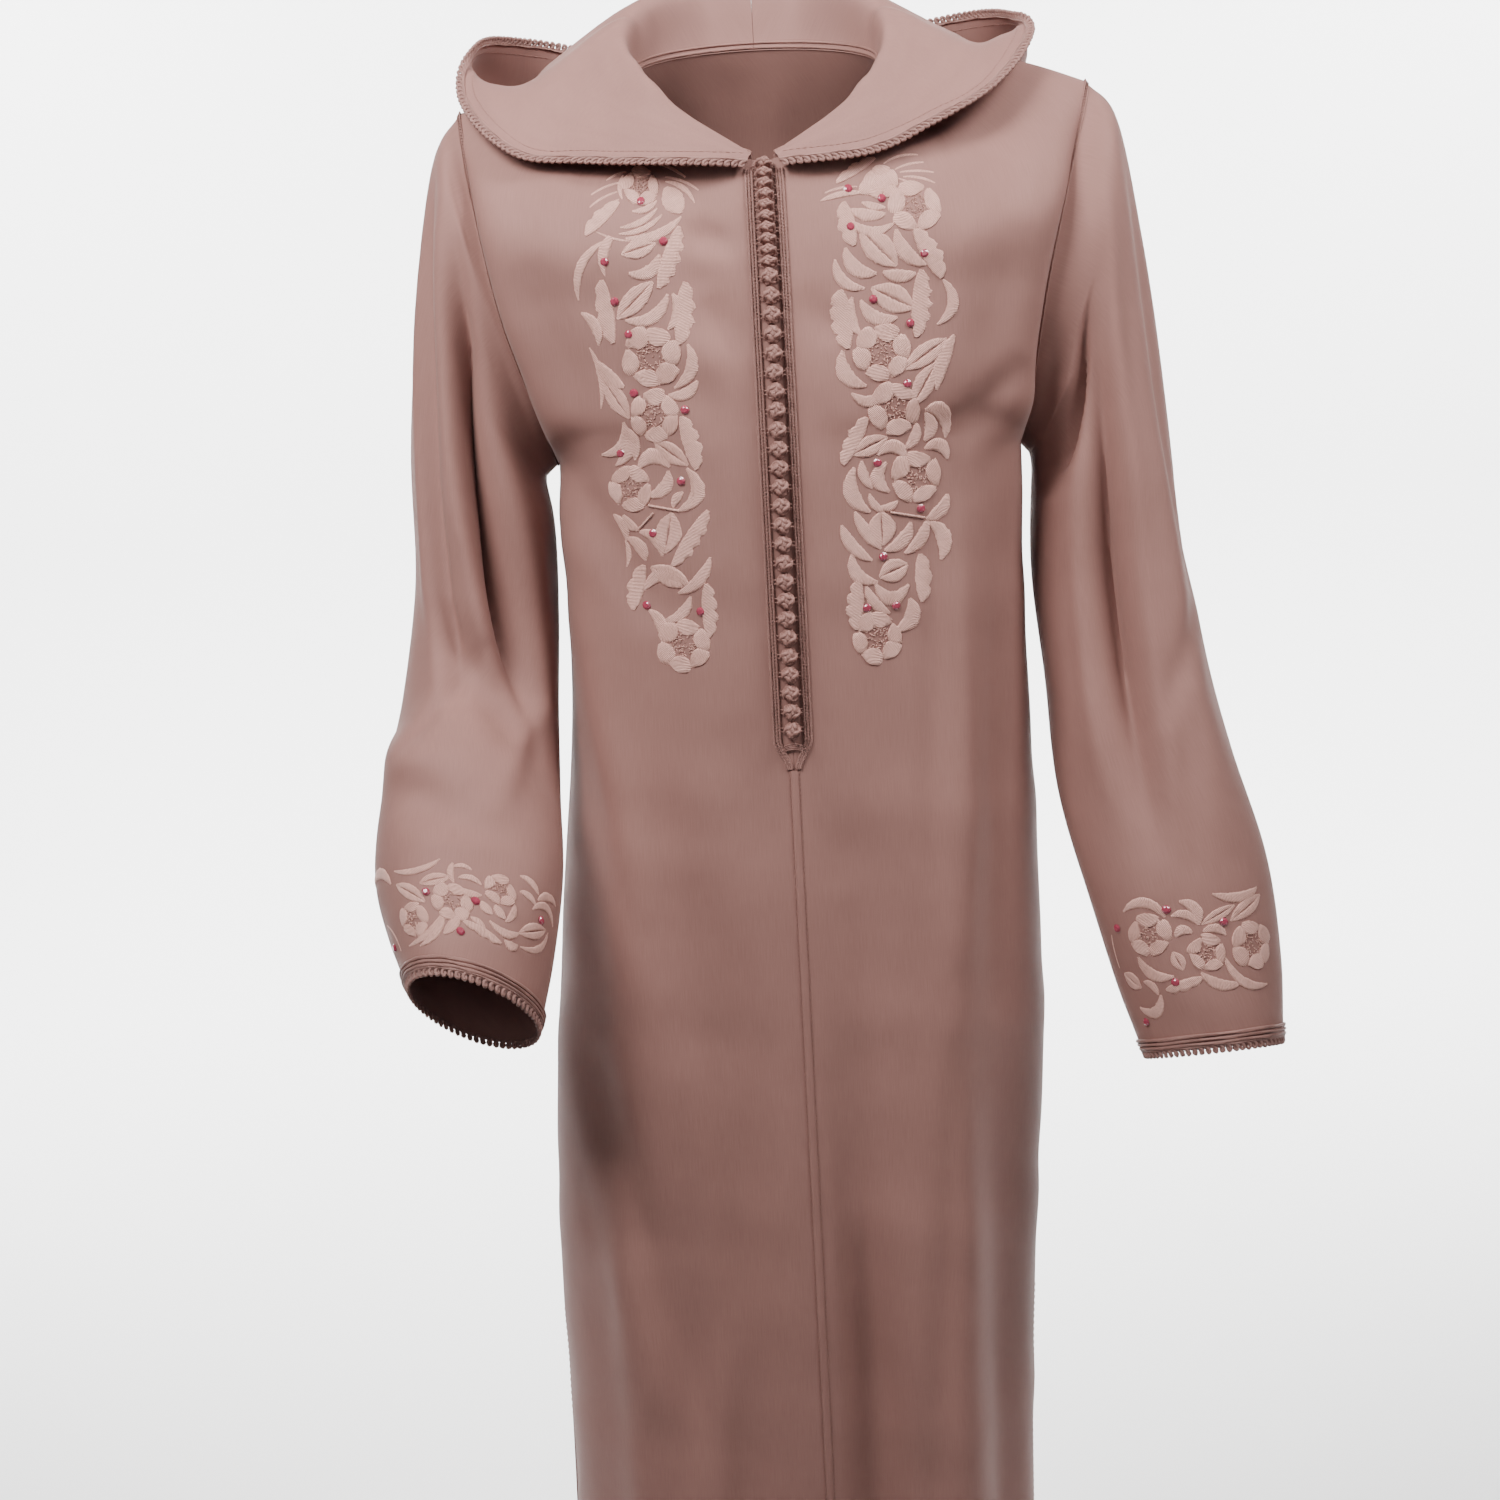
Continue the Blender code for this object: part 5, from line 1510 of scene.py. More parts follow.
def knots(surface, finishes, chance):
    """The row of woven ball knots down the slit."""
    bundle = Bundle()
    ways, over = knot_line()
    core = knot_core()
    rings, sides = core.shape[:2]
    side = np.array((1.0, 0.0, 0.0))
    for mark, half_height in button_marks():
        spot, up = surface.middle_line(mark, 0.0)
        spot = spot * (1.0 - side)
        centre = spot + up * (BUTTON_RADIUS + KNOT_LIFT)
        down = unit(np.cross(side, up))
        squash = half_height / BUTTON_RADIUS
        turn = math.radians(chance.uniform(-KNOT_TURN_VARIES, KNOT_TURN_VARIES) + KNOT_TURN)
        lean = chance.uniform(-KNOT_TILT, KNOT_TILT, 2)
        facing = unit(up + side * lean[0] + down * lean[1])
        first = unit(np.cross(down, facing))
        second = np.cross(facing, first)
        turned = np.stack((first * math.cos(turn) + second * math.sin(turn),
                           second * math.cos(turn) - first * math.sin(turn), facing))
        flat = np.eye(3) - np.outer(down, down) * (1 - squash)
        line = (KNOT_RADIUS + KNOT_OVER * over)[:, None] * ways @ turned @ flat
        cord = KNOT_CORD * (KNOT_SQUEEZED_CORD + (1 - KNOT_SQUEEZED_CORD) * squash)
        tube(bundle, centre + line, line, cord, 8, oval=0.10, pitch=0.0028, closed=True)
        ball = (core * KNOT_CORE) @ turned @ flat + centre
        faces = [grid_faces(rings, sides, 0, True, reverse=True)] + end_faces(rings, sides)
        places = np.zeros((rings, sides, 2)) + np.arange(sides)[None, :, None] * MM
        bundle.add(ball, faces, places)
        (near, near_up), (far, far_up) = KNOT_STITCH_NEAR, KNOT_STITCH_FAR
        corners = [(way, drop) for way in (-1, 1) for drop in (-KNOT_STITCH_APART, KNOT_STITCH_APART)]
        starts = [spot + side * way * near + up * near_up + down * drop for way, drop in corners]
        ends = [spot + side * way * far + up * far_up + down * drop * KNOT_STITCH_SPREAD
                for way, drop in corners]
        stitches(bundle, starts, ends, [up] * 4, KNOT_STITCH_THICK, KNOT_STITCH_THICK)
    return bundle.piece("ball_knots", finishes["button_thread"])


def tuck(surfaces, finishes):
    """The narrow stitched tuck over the middle seam, from the slit to the hem."""
    start = BRAID_END + TUCK_START_GAP
    end = surfaces[RIGHT].down[-1, 0] - TUCK_END_GAP
    marks = np.arange(start, end, TUCK_STEP)
    top = [surfaces[side].middle_line(marks, out, lift)[0] for side, out, lift in TUCK_PROFILE]
    base = [surfaces[side].middle_line(marks, out, TUCK_UNDER)[0] for side, out, _ in TUCK_PROFILE]
    top, base = (np.array(rows).transpose(1, 0, 2) for rows in (top, base))
    bundle = Bundle()
    cloth_shell(bundle, top, base)
    stitched = Bundle()
    marks = np.arange(start, end, TUCK_STITCH_STEP)
    for side in (RIGHT, LEFT):
        line, ups = surfaces[side].middle_line(marks, TUCK_STITCH_OUT, TUCK_STITCH_LIFT)
        running_stitches(stitched, line, ups, TUCK_STITCH_COVER, TUCK_STITCH_WIDE, SEAM_STITCH)
    return (bundle.piece("front_tuck_cloth", finishes["robe_cloth"]),
            stitched.piece("tuck_stitches", finishes["seam_thread"]))


def slit_end_bar(surfaces, finishes):
    """The small curved bar of stitches that closes the lower end of the slit."""
    bundle = Bundle()
    for row in range(BAR_ROWS):
        line, ups = [], []
        for place in np.linspace(-1.0, 1.0, BAR_POINTS):
            side = RIGHT if place < 0 else LEFT
            mark = BRAID_END - BAR_ABOVE_END + row * BAR_ROW + BAR_CURVE * place ** 2
            point, up = surfaces[side].middle_line(mark, abs(place) * BAR_HALF, BAR_LIFT)
            line.append(point)
            ups.append(up)
        tube(bundle, line, np.array(ups), BAR_CORD, 6, oval=0.15, pitch=0.002)
    return bundle.piece("slit_end_bar", finishes["button_thread"])


def along_edge(table, at):
    """Points of an edge, with the directions away from the cloth's end and up from it."""
    read = through(table, at)
    return read[:, :3], unit(read[:, 3:6]), unit(read[:, 6:9])


def edge_loops(name, surface, finishes, closed=False):
    """A curled cord of small loops just past a cloth's last row, with a cord along the edge."""
    bundle = Bundle()
    edge = surface.grid[-1]
    away = unit(surface.grid[-1] - surface.grid[-3])
    table = np.concatenate((edge, away, -surface.inward[-1]), axis=1)
    if closed:
        table = np.concatenate((table, table[:1]))
    places = even_places(table[:, :3], LOOP_PITCH)
    loops = len(places) - 1
    turns = np.arange(loops * LOOP_POINTS + (0 if closed else 1)) / LOOP_POINTS
    shift = LOOP_CURL * np.sin(2 * np.pi * turns)
    turned = (turns + shift) % loops if closed else turns + shift
    edge, away, up = along_edge(table, np.interp(turned, np.arange(loops + 1), places))
    reach = LOOP_NEAR + 0.5 * (LOOP_FAR - LOOP_NEAR) * (1 - np.cos(2 * np.pi * turns))
    cross = LOOP_CROSS * np.sin(2 * np.pi * turns)
    line = edge + away * reach[:, None] + up * (cross - 0.5 * HOOD_THICK)[:, None]
    tube(bundle, line, up, LOOP_CORD, oval=0.16, pitch=0.0022, closed=closed)
    fine = even_places(table[:, :3], EDGE_CORD_STEP)
    edge, away, up = along_edge(table, fine[:-1] if closed else fine)
    line = edge + away * EDGE_CORD_OUT + up * EDGE_CORD_UP
    tube(bundle, line, up, EDGE_CORD, oval=0.2, pitch=0.0024, closed=closed)
    return bundle.piece(name, finishes["loop_trim"])


def cuff_band(name, surface, finishes):
    """Fine cords side by side round the cuff, above its loops."""
    bundle = Bundle()
    columns = np.arange(surface.grid.shape[1])
    for row in range(CUFF_CORDS):
        away = CUFF_CORD_FIRST + row * CUFF_CORD_PITCH
        line, ups = line_on(surface, away, columns, CUFF_CORD_LIFT, from_end=True)
        tube(bundle, line, ups, CUFF_CORD, 8, oval=0.16, pitch=0.0030, closed=True)
    return bundle.piece(name, finishes["braid"])


def line_on(surface, distance, columns, lift, from_end=False):
    """A line on a surface at a distance from its first or last row."""
    rows = surface.rows_at(distance, columns, from_end)
    return surface.read(rows, columns, lift)


def armhole_seam(surface, bundle):
    """Two fine cords round the armhole with slanting stitches between."""
    columns = np.arange(surface.grid.shape[1])
    sleeve_side, ups = line_on(surface, ARMHOLE_SLEEVE_SIDE, columns, ARMHOLE_SLEEVE_LIFT)
    seam, _ = surface.read(0.0 * columns, columns)
    away = unit(surface.grid[2] - surface.grid[0])
    body_side = seam - away * ARMHOLE_BODY_SIDE + ups * ARMHOLE_BODY_LIFT
    for line in (sleeve_side, body_side):
        tube(bundle, line, ups, ARMHOLE_CORD, 6, oval=0.2, pitch=0.0022, closed=True)
    places = even_places(seam, ARMHOLE_STITCH_STEP, closed=True)
    table = np.concatenate((body_side, sleeve_side, ups), axis=1)
    table = np.concatenate((table, table[:1]))
    starts = through(table, places)
    ends = through(table, np.append(places[1:], places[-1]))
    stitches(bundle, starts[:, :3], ends[:, 3:6], starts[:, 6:9], SEAM_STITCH, SEAM_STITCH)


def hood_lines(surface, bundle):
    """The raised double seam at the neckline and the stitched line beside the loops."""
    numbers = even_places(surface.grid[-1], HOOD_STITCH_STEP)[1:]
    line, ups = line_on(surface, HOOD_STITCH_INSET, numbers, HOOD_STITCH_LIFT, from_end=True)
    running_stitches(bundle, line, ups, HOOD_STITCH_COVER, SEAM_STITCH, SEAM_STITCH)
    fine = np.linspace(0.0, surface.grid.shape[1] - 1.0, NECK_CORD_POINTS)
    for distance in NECK_CORD_PLACES:
        line, ups = line_on(surface, distance, fine, STITCH_LIFT)
        tube(bundle, line, ups, NECK_CORD, 6, oval=0.1, pitch=0.003)


def panel_lines(surface, bundle, whole=False):
    """Hem and slit stitches of a panel."""
    last = surface.grid.shape[1] - 1.0
    places = np.arange(1.0, last, HEM_COLUMN_STEP)
    line, ups = line_on(surface, HEM_DEEP, places, STITCH_LIFT, from_end=True)
    along = distances_along(line)
    at = np.interp(np.arange(0.0, along[-1], HEM_STITCH_STEP), along, np.arange(len(line)))
    running_stitches(bundle, through(line, at), through(ups, at), HEM_STITCH_COVER, SEAM_STITCH,
                     LOW_STITCH)
    rows = np.arange(len(surface.grid))
    slit_top = np.interp(-SLIT_TOP_Z, -surface.grid[:, -1, 2], rows)
    slit_rows = np.linspace(slit_top, rows[-1], SLIT_STITCHES)
    columns = [last - SLIT_STITCH_COLUMNS] + ([SLIT_STITCH_COLUMNS] if whole else [])
    for column in columns:
        line, ups = surface.read(slit_rows, 0 * slit_rows + column, STITCH_LIFT)
        running_stitches(bundle, line, ups, SLIT_STITCH_COVER, SEAM_STITCH, LOW_STITCH)


def bent_line(x_1, y_1, x_2, y_2, bend, count):
    """Points and left-hand directions along a bent line on a chart, y growing downwards."""
    start = np.array((x_1, y_1), float)
    way = np.array((x_2, y_2), float) - start
    left = np.array((way[1], -way[0]))
    share = np.linspace(0.0, 1.0, count)[:, None]
    line = start + way * share + left * bend * 4 * share * (1 - share) * BEND_SHARE
    ways = unit(np.gradient(line, axis=0))
    return line, np.stack((ways[:, 1], -ways[:, 0]), axis=1), share[:, 0]


def satin_shape(bundle, lay, line, lefts, left_half, right_half, high, chance):
    """One satin-stitched shape: a soft dome with a slightly uneven edge."""
    across = np.array(DOME_ACROSS)
    uneven = 1 + SATIN_UNEVEN * chance.standard_normal((2, len(line)))
    reach = np.where(across[None, :] > 0, (left_half * uneven[0])[:, None],
                     (right_half * uneven[1])[:, None]) * across[None, :]
    spots = line[:, None] + lefts[:, None] * reach[..., None]
    half = np.maximum(left_half, right_half)
    rise = high * np.clip(half / DOME_FULL_HALF, SATIN_LEAST_RISE, 1.0)
    heights = rise[:, None] * np.array(DOME_HEIGHTS)[None, :] - SATIN_SUNK
    heights[:, -2:] = -SATIN_FOOT * SATIN_SUNK
    points = lay(spots.reshape(-1, 2), heights.ravel()).reshape(spots.shape[:2] + (3,))
    rings, sides = spots.shape[:2]
    faces = [grid_faces(rings, sides, 0, True)] + end_faces(rings, sides)
    along = distances_along(line)
    places = np.stack((reach, np.broadcast_to(along[:, None], reach.shape)), axis=-1) * MM
    places = places + chance.uniform(0.0, SATIN_PLACE_VARIES, 2)
    bundle.add(points, faces, places)


def points_along(length):
    """How many points a shape of this length is drawn with."""
    return int(min(max(length / POINT_SPACING, FEWEST_POINTS), MOST_POINTS))


def shape_parts(kind, line, lefts, share, length, wide, bend):
    """Each part of a satin-stitched shape: its middle line and its half width on both sides."""
    swell = np.sin(np.pi * np.clip(share, *SWELL_ENDS))
    if kind == "split":
        apart = lefts * (SPLIT_APART * wide * swell ** SPLIT_APART_SWELL)[:, None]
        half = SPLIT_FULL * wide * swell ** SPLIT_SWELL
        return [(line - apart, half, half), (line + apart, half, half)]
    if kind == "scallop":
        lobes = max(round(length / SCALLOP_LOBE), SCALLOP_FEWEST)
        lobe = np.abs(np.sin(lobes * np.pi * share)) ** SCALLOP_LOBE_SWELL
        lobed = 1 - SCALLOP_DEEP + SCALLOP_DEEP * lobe
        full = SCALLOP_FULL * wide * swell ** SCALLOP_SWELL * lobed
        plain = SCALLOP_PLAIN * wide * swell ** PLAIN_SWELL
        return [(line, full, plain) if bend > 0 else (line, plain, full)]
    if kind == "comma":
        start, span = COMMA_SPAN
        round_end = np.sin(np.pi * (start + span * share)) ** PLAIN_SWELL
        half = np.maximum(0.5 * wide * round_end * (1 - share) ** COMMA_FADE, COMMA_LEAST)
    elif kind == "ray":
        half = 0.5 * wide * (RAY_LEAST + (1 - RAY_LEAST) * swell ** PLAIN_SWELL)
    else:
        half = BLADE_FULL * wide * swell ** BLADE_SWELL
    return [(line, half, half)]


def satin_motif(satin, seeds, lay, kind, values, chance):
    """One satin-stitched shape or cord of a chart."""
    x_1, y_1, x_2, y_2, wide = values[:5]
    bend = values[5] if len(values) > 5 else 0.0
    length = math.hypot(x_2 - x_1, y_2 - y_1)
    bow = 0.0 if kind == "scallop" else bend
    line, lefts, share = bent_line(x_1, y_1, x_2, y_2, bow, points_along(length))
    if kind == "cord":
        points, ups = lay(line, np.full(len(line), CORD_LIFT), True)
        tube(seeds, points, ups, CORD_SHARE * wide * MM, oval=0.25, pitch=0.002)
        return
    for middle, left_half, right_half in shape_parts(kind, line, lefts, share, length, wide, bend):
        satin_shape(satin, lay, middle, lefts, left_half, right_half, SATIN_HIGH, chance)


def flower(satin, seeds, lay, values, chance):
    """A satin-stitched flower with a seed-stitched middle."""
    x, y, turn, petals, radius = values
    middle = np.array((x, y))
    widest = PETAL_WIDE * 2 * math.pi * radius * PETAL_WIDEST_AT / petals * 0.5
    for petal in range(petals):
        varied = chance.uniform(-PETAL_TURN_VARIES, PETAL_TURN_VARIES)
        angle = math.radians(turn + 360.0 * petal / petals + varied - 90.0)
        way = np.array((math.cos(angle), math.sin(angle)))
        reach = radius * chance.uniform(*PETAL_REACH)
        start = middle + way * radius * PETAL_START
        end = middle + way * reach
        bend = chance.uniform(-PETAL_BEND, PETAL_BEND)
        line, lefts, share = bent_line(*start, *end, bend, PETAL_POINTS)
        outline = PETAL_FOOT * (1 - share) + np.sin(np.pi * np.clip(share, 0.0, 0.985) ** 1.5) ** 0.5
        half = widest * np.minimum(outline, 1.0)
        satin_shape(satin, lay, line, lefts, half, half, SATIN_HIGH * PETAL_HIGH, chance)
    count = int(SEEDS_PER_MM * radius)
    angles = chance.uniform(0, 2 * math.pi, count)
    away = radius * SEED_REACH * np.sqrt(chance.uniform(0.0, 1.0, count))
    spots = middle + np.stack((np.cos(angles), np.sin(angles)), axis=1) * away[:, None]
    leans = chance.uniform(0, math.pi, count)
    ways = np.stack((np.cos(leans), np.sin(leans)), axis=1) * SEED_HALF
    lifts = np.full(count, SEED_LIFT)
    starts, ups = lay(spots - ways, lifts, True)
    ends, _ = lay(spots + ways, lifts, True)
    stitches(seeds, starts, ends, ups, SEED_WIDE * MM, SEED_HIGH * MM, 5)


def stone(stones, lay, middle, chance):
    """A small round stone with cut facets."""
    turns = 2 * np.pi * (np.arange(STONE_SIDES) / STONE_SIDES) + chance.uniform(0, 1)
    rings = []
    for radius, height, shift in STONE_RINGS:
        ring = np.stack((np.cos(turns + shift), np.sin(turns + shift)), axis=1) * radius
        rings.append(lay(np.array(middle) + ring, np.full(STONE_SIDES, height)))
    faces = [grid_faces(len(rings), STONE_SIDES, 0, True)] + end_faces(len(rings), STONE_SIDES)
    stones.add(np.array(rings), faces, np.zeros((len(rings), STONE_SIDES, 2)))


def chest_layer(grids):
    """Lays chart points in millimetres on the chest, seen straight from the front."""
    points, faces, start = [], [], 0
    for grid in grids:
        points.append(grid.reshape(-1, 3))
        faces.append(grid_faces(*grid.shape[:2], start))
        start += len(points[-1])
    tree = BVHTree.FromPolygons(np.concatenate(points).tolist(), np.concatenate(faces).tolist())

    def lay(spots, heights, with_ups=False):
        """Points of the cloth at chart spots, raised, with their directions if asked."""
        laid, ups = [], []
        for (x, down), height in zip(spots, heights):
            spot, normal, _, _ = tree.ray_cast(Vector((x * MM, -1.0, -down * MM)),
                                               Vector((0.0, 1.0, 0.0)))
            if spot is None:
                spot, normal, _, _ = tree.find_nearest(Vector((x * MM, -0.1, -down * MM)))
            up = normal if normal.y < 0 else -normal
            laid.append(spot + up * height * MM)
            ups.append(up)
        laid = np.array(laid)
        return (laid, np.array(ups)) if with_ups else laid

    return lay


def cuff_layer(surface, side):
    """Lays chart points on a sleeve: x round the arm, y down towards the cuff."""
    count = surface.grid.shape[1]
    row = int(surface.rows_at(CUFF_LOOP_UP, 0, from_end=True))
    loop = surface.grid[row]
    round_mm = np.linalg.norm(np.roll(loop, -1, axis=0) - loop, axis=1).sum() / MM
    per_degree = round_mm / 360.0

    def lay(spots, heights, with_ups=False):
        """Points of the cloth at chart spots, raised, with their directions if asked."""
        angles = -side * spots[:, 0] / per_degree
        columns = (180.0 - angles) / 360.0 * count
        rows = surface.rows_at(-spots[:, 1] * MM, columns, from_end=True)
        laid, ups = surface.read(rows, columns, np.asarray(heights) * MM)
        return (laid, ups) if with_ups else laid

    return lay, per_degree


def embroider(name, chart, lay, finishes, chance, per_degree=None, side=RIGHT):
    """All of a chart's motifs, as three pieces: satin shapes, seed stitches and stones."""
    satin, seeds, stones = Bundle(), Bundle(), Bundle()
    for kind, *values in chart:
        if per_degree:
            for place in (0,) if kind in ("flower", "stone") else (0, 2):
                values[place] *= -side * per_degree
                values[place + 1] *= -1
        if kind == "flower":
            flower(satin, seeds, lay, values, chance)
        elif kind == "stone":
            stone(stones, lay, values, chance)
        else:
            satin_motif(satin, seeds, lay, kind, values, chance)
    return [satin.piece(name + "_satin_stitch", finishes["satin"]),
            seeds.piece(name + "_seed_stitch", finishes["satin"]),
            stones.piece(name + "_stones", finishes["stone"], flat=True)]


def link(tree, source, target):
    """Join two node sockets."""
    tree.links.new(source, target)


def node(tree, kind, **settings):
    """A shader node; settings with a capital or a number are its sockets' values."""
    made = tree.nodes.new(kind)
    for name, value in settings.items():
        if hasattr(made, name):
            setattr(made, name, value)
        else:
            made.inputs[name.replace("_", " ")].default_value = value
    return made


def maths(tree, operation, first, second=None, clamp=False):
    """A math node on two values or sockets, giving its output."""
    made = tree.nodes.new("ShaderNodeMath")
    made.operation = operation
    made.use_clamp = clamp
    for socket, value in zip(made.inputs, (first, second)):
        if value is None:
            continue
        if isinstance(value, (int, float)):
            socket.default_value = value
        else:
            tree.links.new(value, socket)
    return made.outputs[0]


def mixed(tree, share, first, second):
    """A colour between two colours or sockets."""
    made = tree.nodes.new("ShaderNodeMix")
    made.data_type = "RGBA"
    for socket, value in zip((made.inputs[0], made.inputs[6], made.inputs[7]),
                             (share, first, second)):
        if isinstance(value, (int, float, tuple)):
            socket.default_value = value
        else:
            tree.links.new(value, socket)
    return made.outputs[2]


def new_group(name, shade, dark, **numbers):
    """An effect group: two colours and named numbers in, and a finish out."""
    group = bpy.data.node_groups.new(name, "ShaderNodeTree")
    colour, number = "NodeSocketColor", "NodeSocketFloat"
    given = [("Shade", colour, shade), ("Dark", colour, dark)]
    given += [(label, number, value) for label, value in numbers.items()]
    for label, kind, value in given:
        socket = group.interface.new_socket(label, in_out="INPUT", socket_type=kind)
        socket.default_value = value
    for label, kind in (("Color", colour), ("Roughness", number), ("Height", number)):
        group.interface.new_socket(label, in_out="OUTPUT", socket_type=kind)
    places = node(group, "ShaderNodeUVMap", uv_map="cloth_metres").outputs[0]
    split = node(group, "ShaderNodeSeparateXYZ")
    link(group, places, split.inputs[0])
    return group, group.nodes.new("NodeGroupInput").outputs, places, split.outputs


def close_group(group, given, dark_share, rough, height):
    """Lead a group's colour, roughness and height out of it."""
    out = group.nodes.new("NodeGroupOutput")
    colour = mixed(group, dark_share, given["Shade"], given["Dark"])
    for label, socket in (("Color", colour), ("Roughness", rough), ("Height", height)):
        link(group, socket, out.inputs[label])
    return group


def noise(tree, places, scale, detail, rough=0.5):
    """An uneven pattern between 0 and 1."""
    made = node(tree, "ShaderNodeTexNoise", Scale=scale, Detail=detail, Roughness=rough)
    link(tree, places, made.inputs["Vector"])
    return made.outputs["Fac"]


def stretched_noise(tree, places, scales, detail):
    """An uneven pattern with its own scale each way."""
    stretch = node(tree, "ShaderNodeMapping", Scale=scales)
    link(tree, places, stretch.inputs["Vector"])
    return noise(tree, stretch.outputs[0], 1.0, detail)


def times(tree, first, second):
    """Two values multiplied."""
    return maths(tree, "MULTIPLY", first, second)


def plus(tree, first, second):
    """Two values added."""
    return maths(tree, "ADD", first, second)


def less(tree, first, second):
    """One value less another."""
    return maths(tree, "SUBTRACT", first, second)


def swing(tree, value, strength):
    """A pattern between 0 and 1 as a change up and down."""
    return times(tree, less(tree, value, 0.5), strength)


def wave(tree, turn):
    """A wave between 0 and 1 along a growing angle."""
    return times(tree, plus(tree, maths(tree, "SINE", turn), 1.0), 0.5)


def uneven_roughness(tree, pattern, span):
    """Roughness that follows a pattern over a range."""
    return plus(tree, times(tree, pattern, span[0]), span[1])


def weave_group():
    """Fine plain weave with crepe grain, slubs and slow shade changes."""
    group, given, places, split = new_group(
        "plain_weave", CLOTH_SHADE, CLOTH_DARK, Threads=WEAVE_THREADS, Grain=WEAVE_GRAIN)
    drift = times(group, noise(group, places, *WOBBLE_NOISE), WEAVE_WOBBLE)
    waves = []
    for way in split[:2]:
        turn = times(group, times(group, way, given["Threads"]), math.pi)
        waves.append(maths(group, "SINE", plus(group, turn, drift)))
    weave = maths(group, "ABSOLUTE", times(group, *waves))
    crepe = noise(group, places, *CREPE_NOISE)
    slow = noise(group, places, *PATCH_NOISE)
    slub = stretched_noise(group, places, *SLUB_NOISE)
    grain = plus(group, times(group, crepe, CREPE_SHARE), times(group, weave, WEAVE_SHARE))
    patch = swing(group, slow, PATCH_SHADE)
    lines = swing(group, slub, SLUB_SHADE)
    share = times(group, less(group, 1.0, grain), given["Grain"])
    total = maths(group, "ADD", share, plus(group, patch, lines), clamp=True)
    rough = uneven_roughness(group, crepe, CREPE_ROUGHNESS)
    rough = plus(group, rough, times(group, patch, PATCH_ROUGHNESS))
    height = plus(group, grain, times(group, slub, SLUB_HEIGHT))
    return close_group(group, given, total, rough, height)


def thread_group():
    """Twisted thread: slanting fibres round a cord, with uneven shade and painted shade in the
    grooves between the fibres.
    """
    group, given, places, split = new_group(
        "twisted_thread", SEAM_SHADE, SEAM_DARK, Fibres=9000.0, Slant=1.0)
    fuzz = noise(group, places, *FUZZ_NOISE)
    slanted = plus(group, split[1], times(group, split[0], given["Slant"]))
    turn = plus(group, times(group, slanted, given["Fibres"]), times(group, fuzz, FUZZ_TURN))
    fibre = wave(group, turn)
    uneven = swing(group, noise(group, places, *THREAD_PATCH_NOISE), THREAD_PATCH_SHADE)
    # Painted shade: the colour darkens in the grooves between the fibres, where the relief is low
    dark = times(group, less(group, 1.0, fibre), THREAD_GROOVE_PAINTED_SHADE)
    total = maths(group, "ADD", dark, uneven, clamp=True)
    rough = uneven_roughness(group, fuzz, THREAD_ROUGHNESS)
    return close_group(group, given, total, rough, fibre)


def satin_group():
    """Satin stitch: threads laid close side by side across each shape, with painted shade between the
    threads and a painted sheen from thread to thread.
    """
    group, given, places, split = new_group(
        "satin_stitch", SATIN_SHADE, SATIN_DARK, Threads=SATIN_THREADS)
    loose = stretched_noise(group, places, *SATIN_THREAD_NOISE)
    lean = plus(group, split[1], times(group, split[0], SATIN_LEAN))
    turn = times(group, times(group, lean, given["Threads"]), 2 * math.pi)
    thread = wave(group, plus(group, turn, times(group, loose, SATIN_THREAD_TURN)))
    slow = noise(group, places, *SATIN_PATCH_NOISE)
    # Painted sheen from thread to thread, with slow random patches of tone
    uneven = plus(group, less(group, loose, 0.5), swing(group, slow, SATIN_PATCH_SHADE))
    # Painted shade: the colour darkens between the satin threads, where the relief is low
    dark = times(group, less(group, 1.0, thread), SATIN_GROOVE_PAINTED_SHADE)
    total = maths(group, "ADD", dark, times(group, uneven, SATIN_SHEEN_AND_TONE_SHADE), clamp=True)
    rough = uneven_roughness(group, loose, SATIN_ROUGHNESS)
    return close_group(group, given, total, rough, thread)


def new_material(name):
    """A material's tree and its Principled shader."""
    material = bpy.data.materials.new(name)
    material.use_nodes = True
    return material, material.node_tree, material.node_tree.nodes["Principled BSDF"]


def finish_material(name, group, strength, depth, sheen, values):
    """A material with one effect group under a Principled shader."""
    material, tree, shader = new_material(name)
    effect = node(tree, "ShaderNodeGroup", node_tree=group)
    for label, value in values.items():
        effect.inputs[label].default_value = value
    relief = node(tree, "ShaderNodeBump", Strength=strength, Distance=depth)
    link(tree, effect.outputs["Height"], relief.inputs["Height"])
    link(tree, relief.outputs[0], shader.inputs["Normal"])
    link(tree, effect.outputs["Color"], shader.inputs["Base Color"])
    link(tree, effect.outputs["Roughness"], shader.inputs["Roughness"])
    shader.inputs["Sheen Weight"].default_value = sheen
    shader.inputs["Sheen Roughness"].default_value = SHEEN_ROUGHNESS
    shader.inputs["Sheen Tint"].default_value = SHEEN_COLOUR
    shader.inputs["Specular IOR Level"].default_value = CLOTH_SPECULAR
    return material


def clouded_material(name, pattern, pale, deep):
    """A material mottled softly between two colours, and its pattern."""
    material, tree, shader = new_material(name)
    places = node(tree, "ShaderNodeTexCoord").outputs["Object"]
    cloud = noise(tree, places, *pattern)
    link(tree, mixed(tree, cloud, pale, deep), shader.inputs["Base Color"])
    return material, tree, shader, cloud


def stone_material():
    """Pink cut glass with faint cloudy spots."""
    material, tree, shader, cloud = clouded_material(
        "pink_glass_stone", STONE_NOISE, STONE_PALE, STONE_DEEP)
    link(tree, times(tree, cloud, STONE_ROUGHNESS), shader.inputs["Roughness"])
    shader.inputs["Specular IOR Level"].default_value = STONE_SPECULAR
    shader.inputs["Coat Weight"].default_value = STONE_COAT
    return material


def floor_material():
    """Matt pale studio floor with the faintest mottling."""
    material, _, shader, _ = clouded_material(
        "studio_floor", FLOOR_NOISE, FLOOR_PALE, FLOOR_DEEP)
    shader.inputs["Roughness"].default_value = FLOOR_ROUGHNESS
    return material


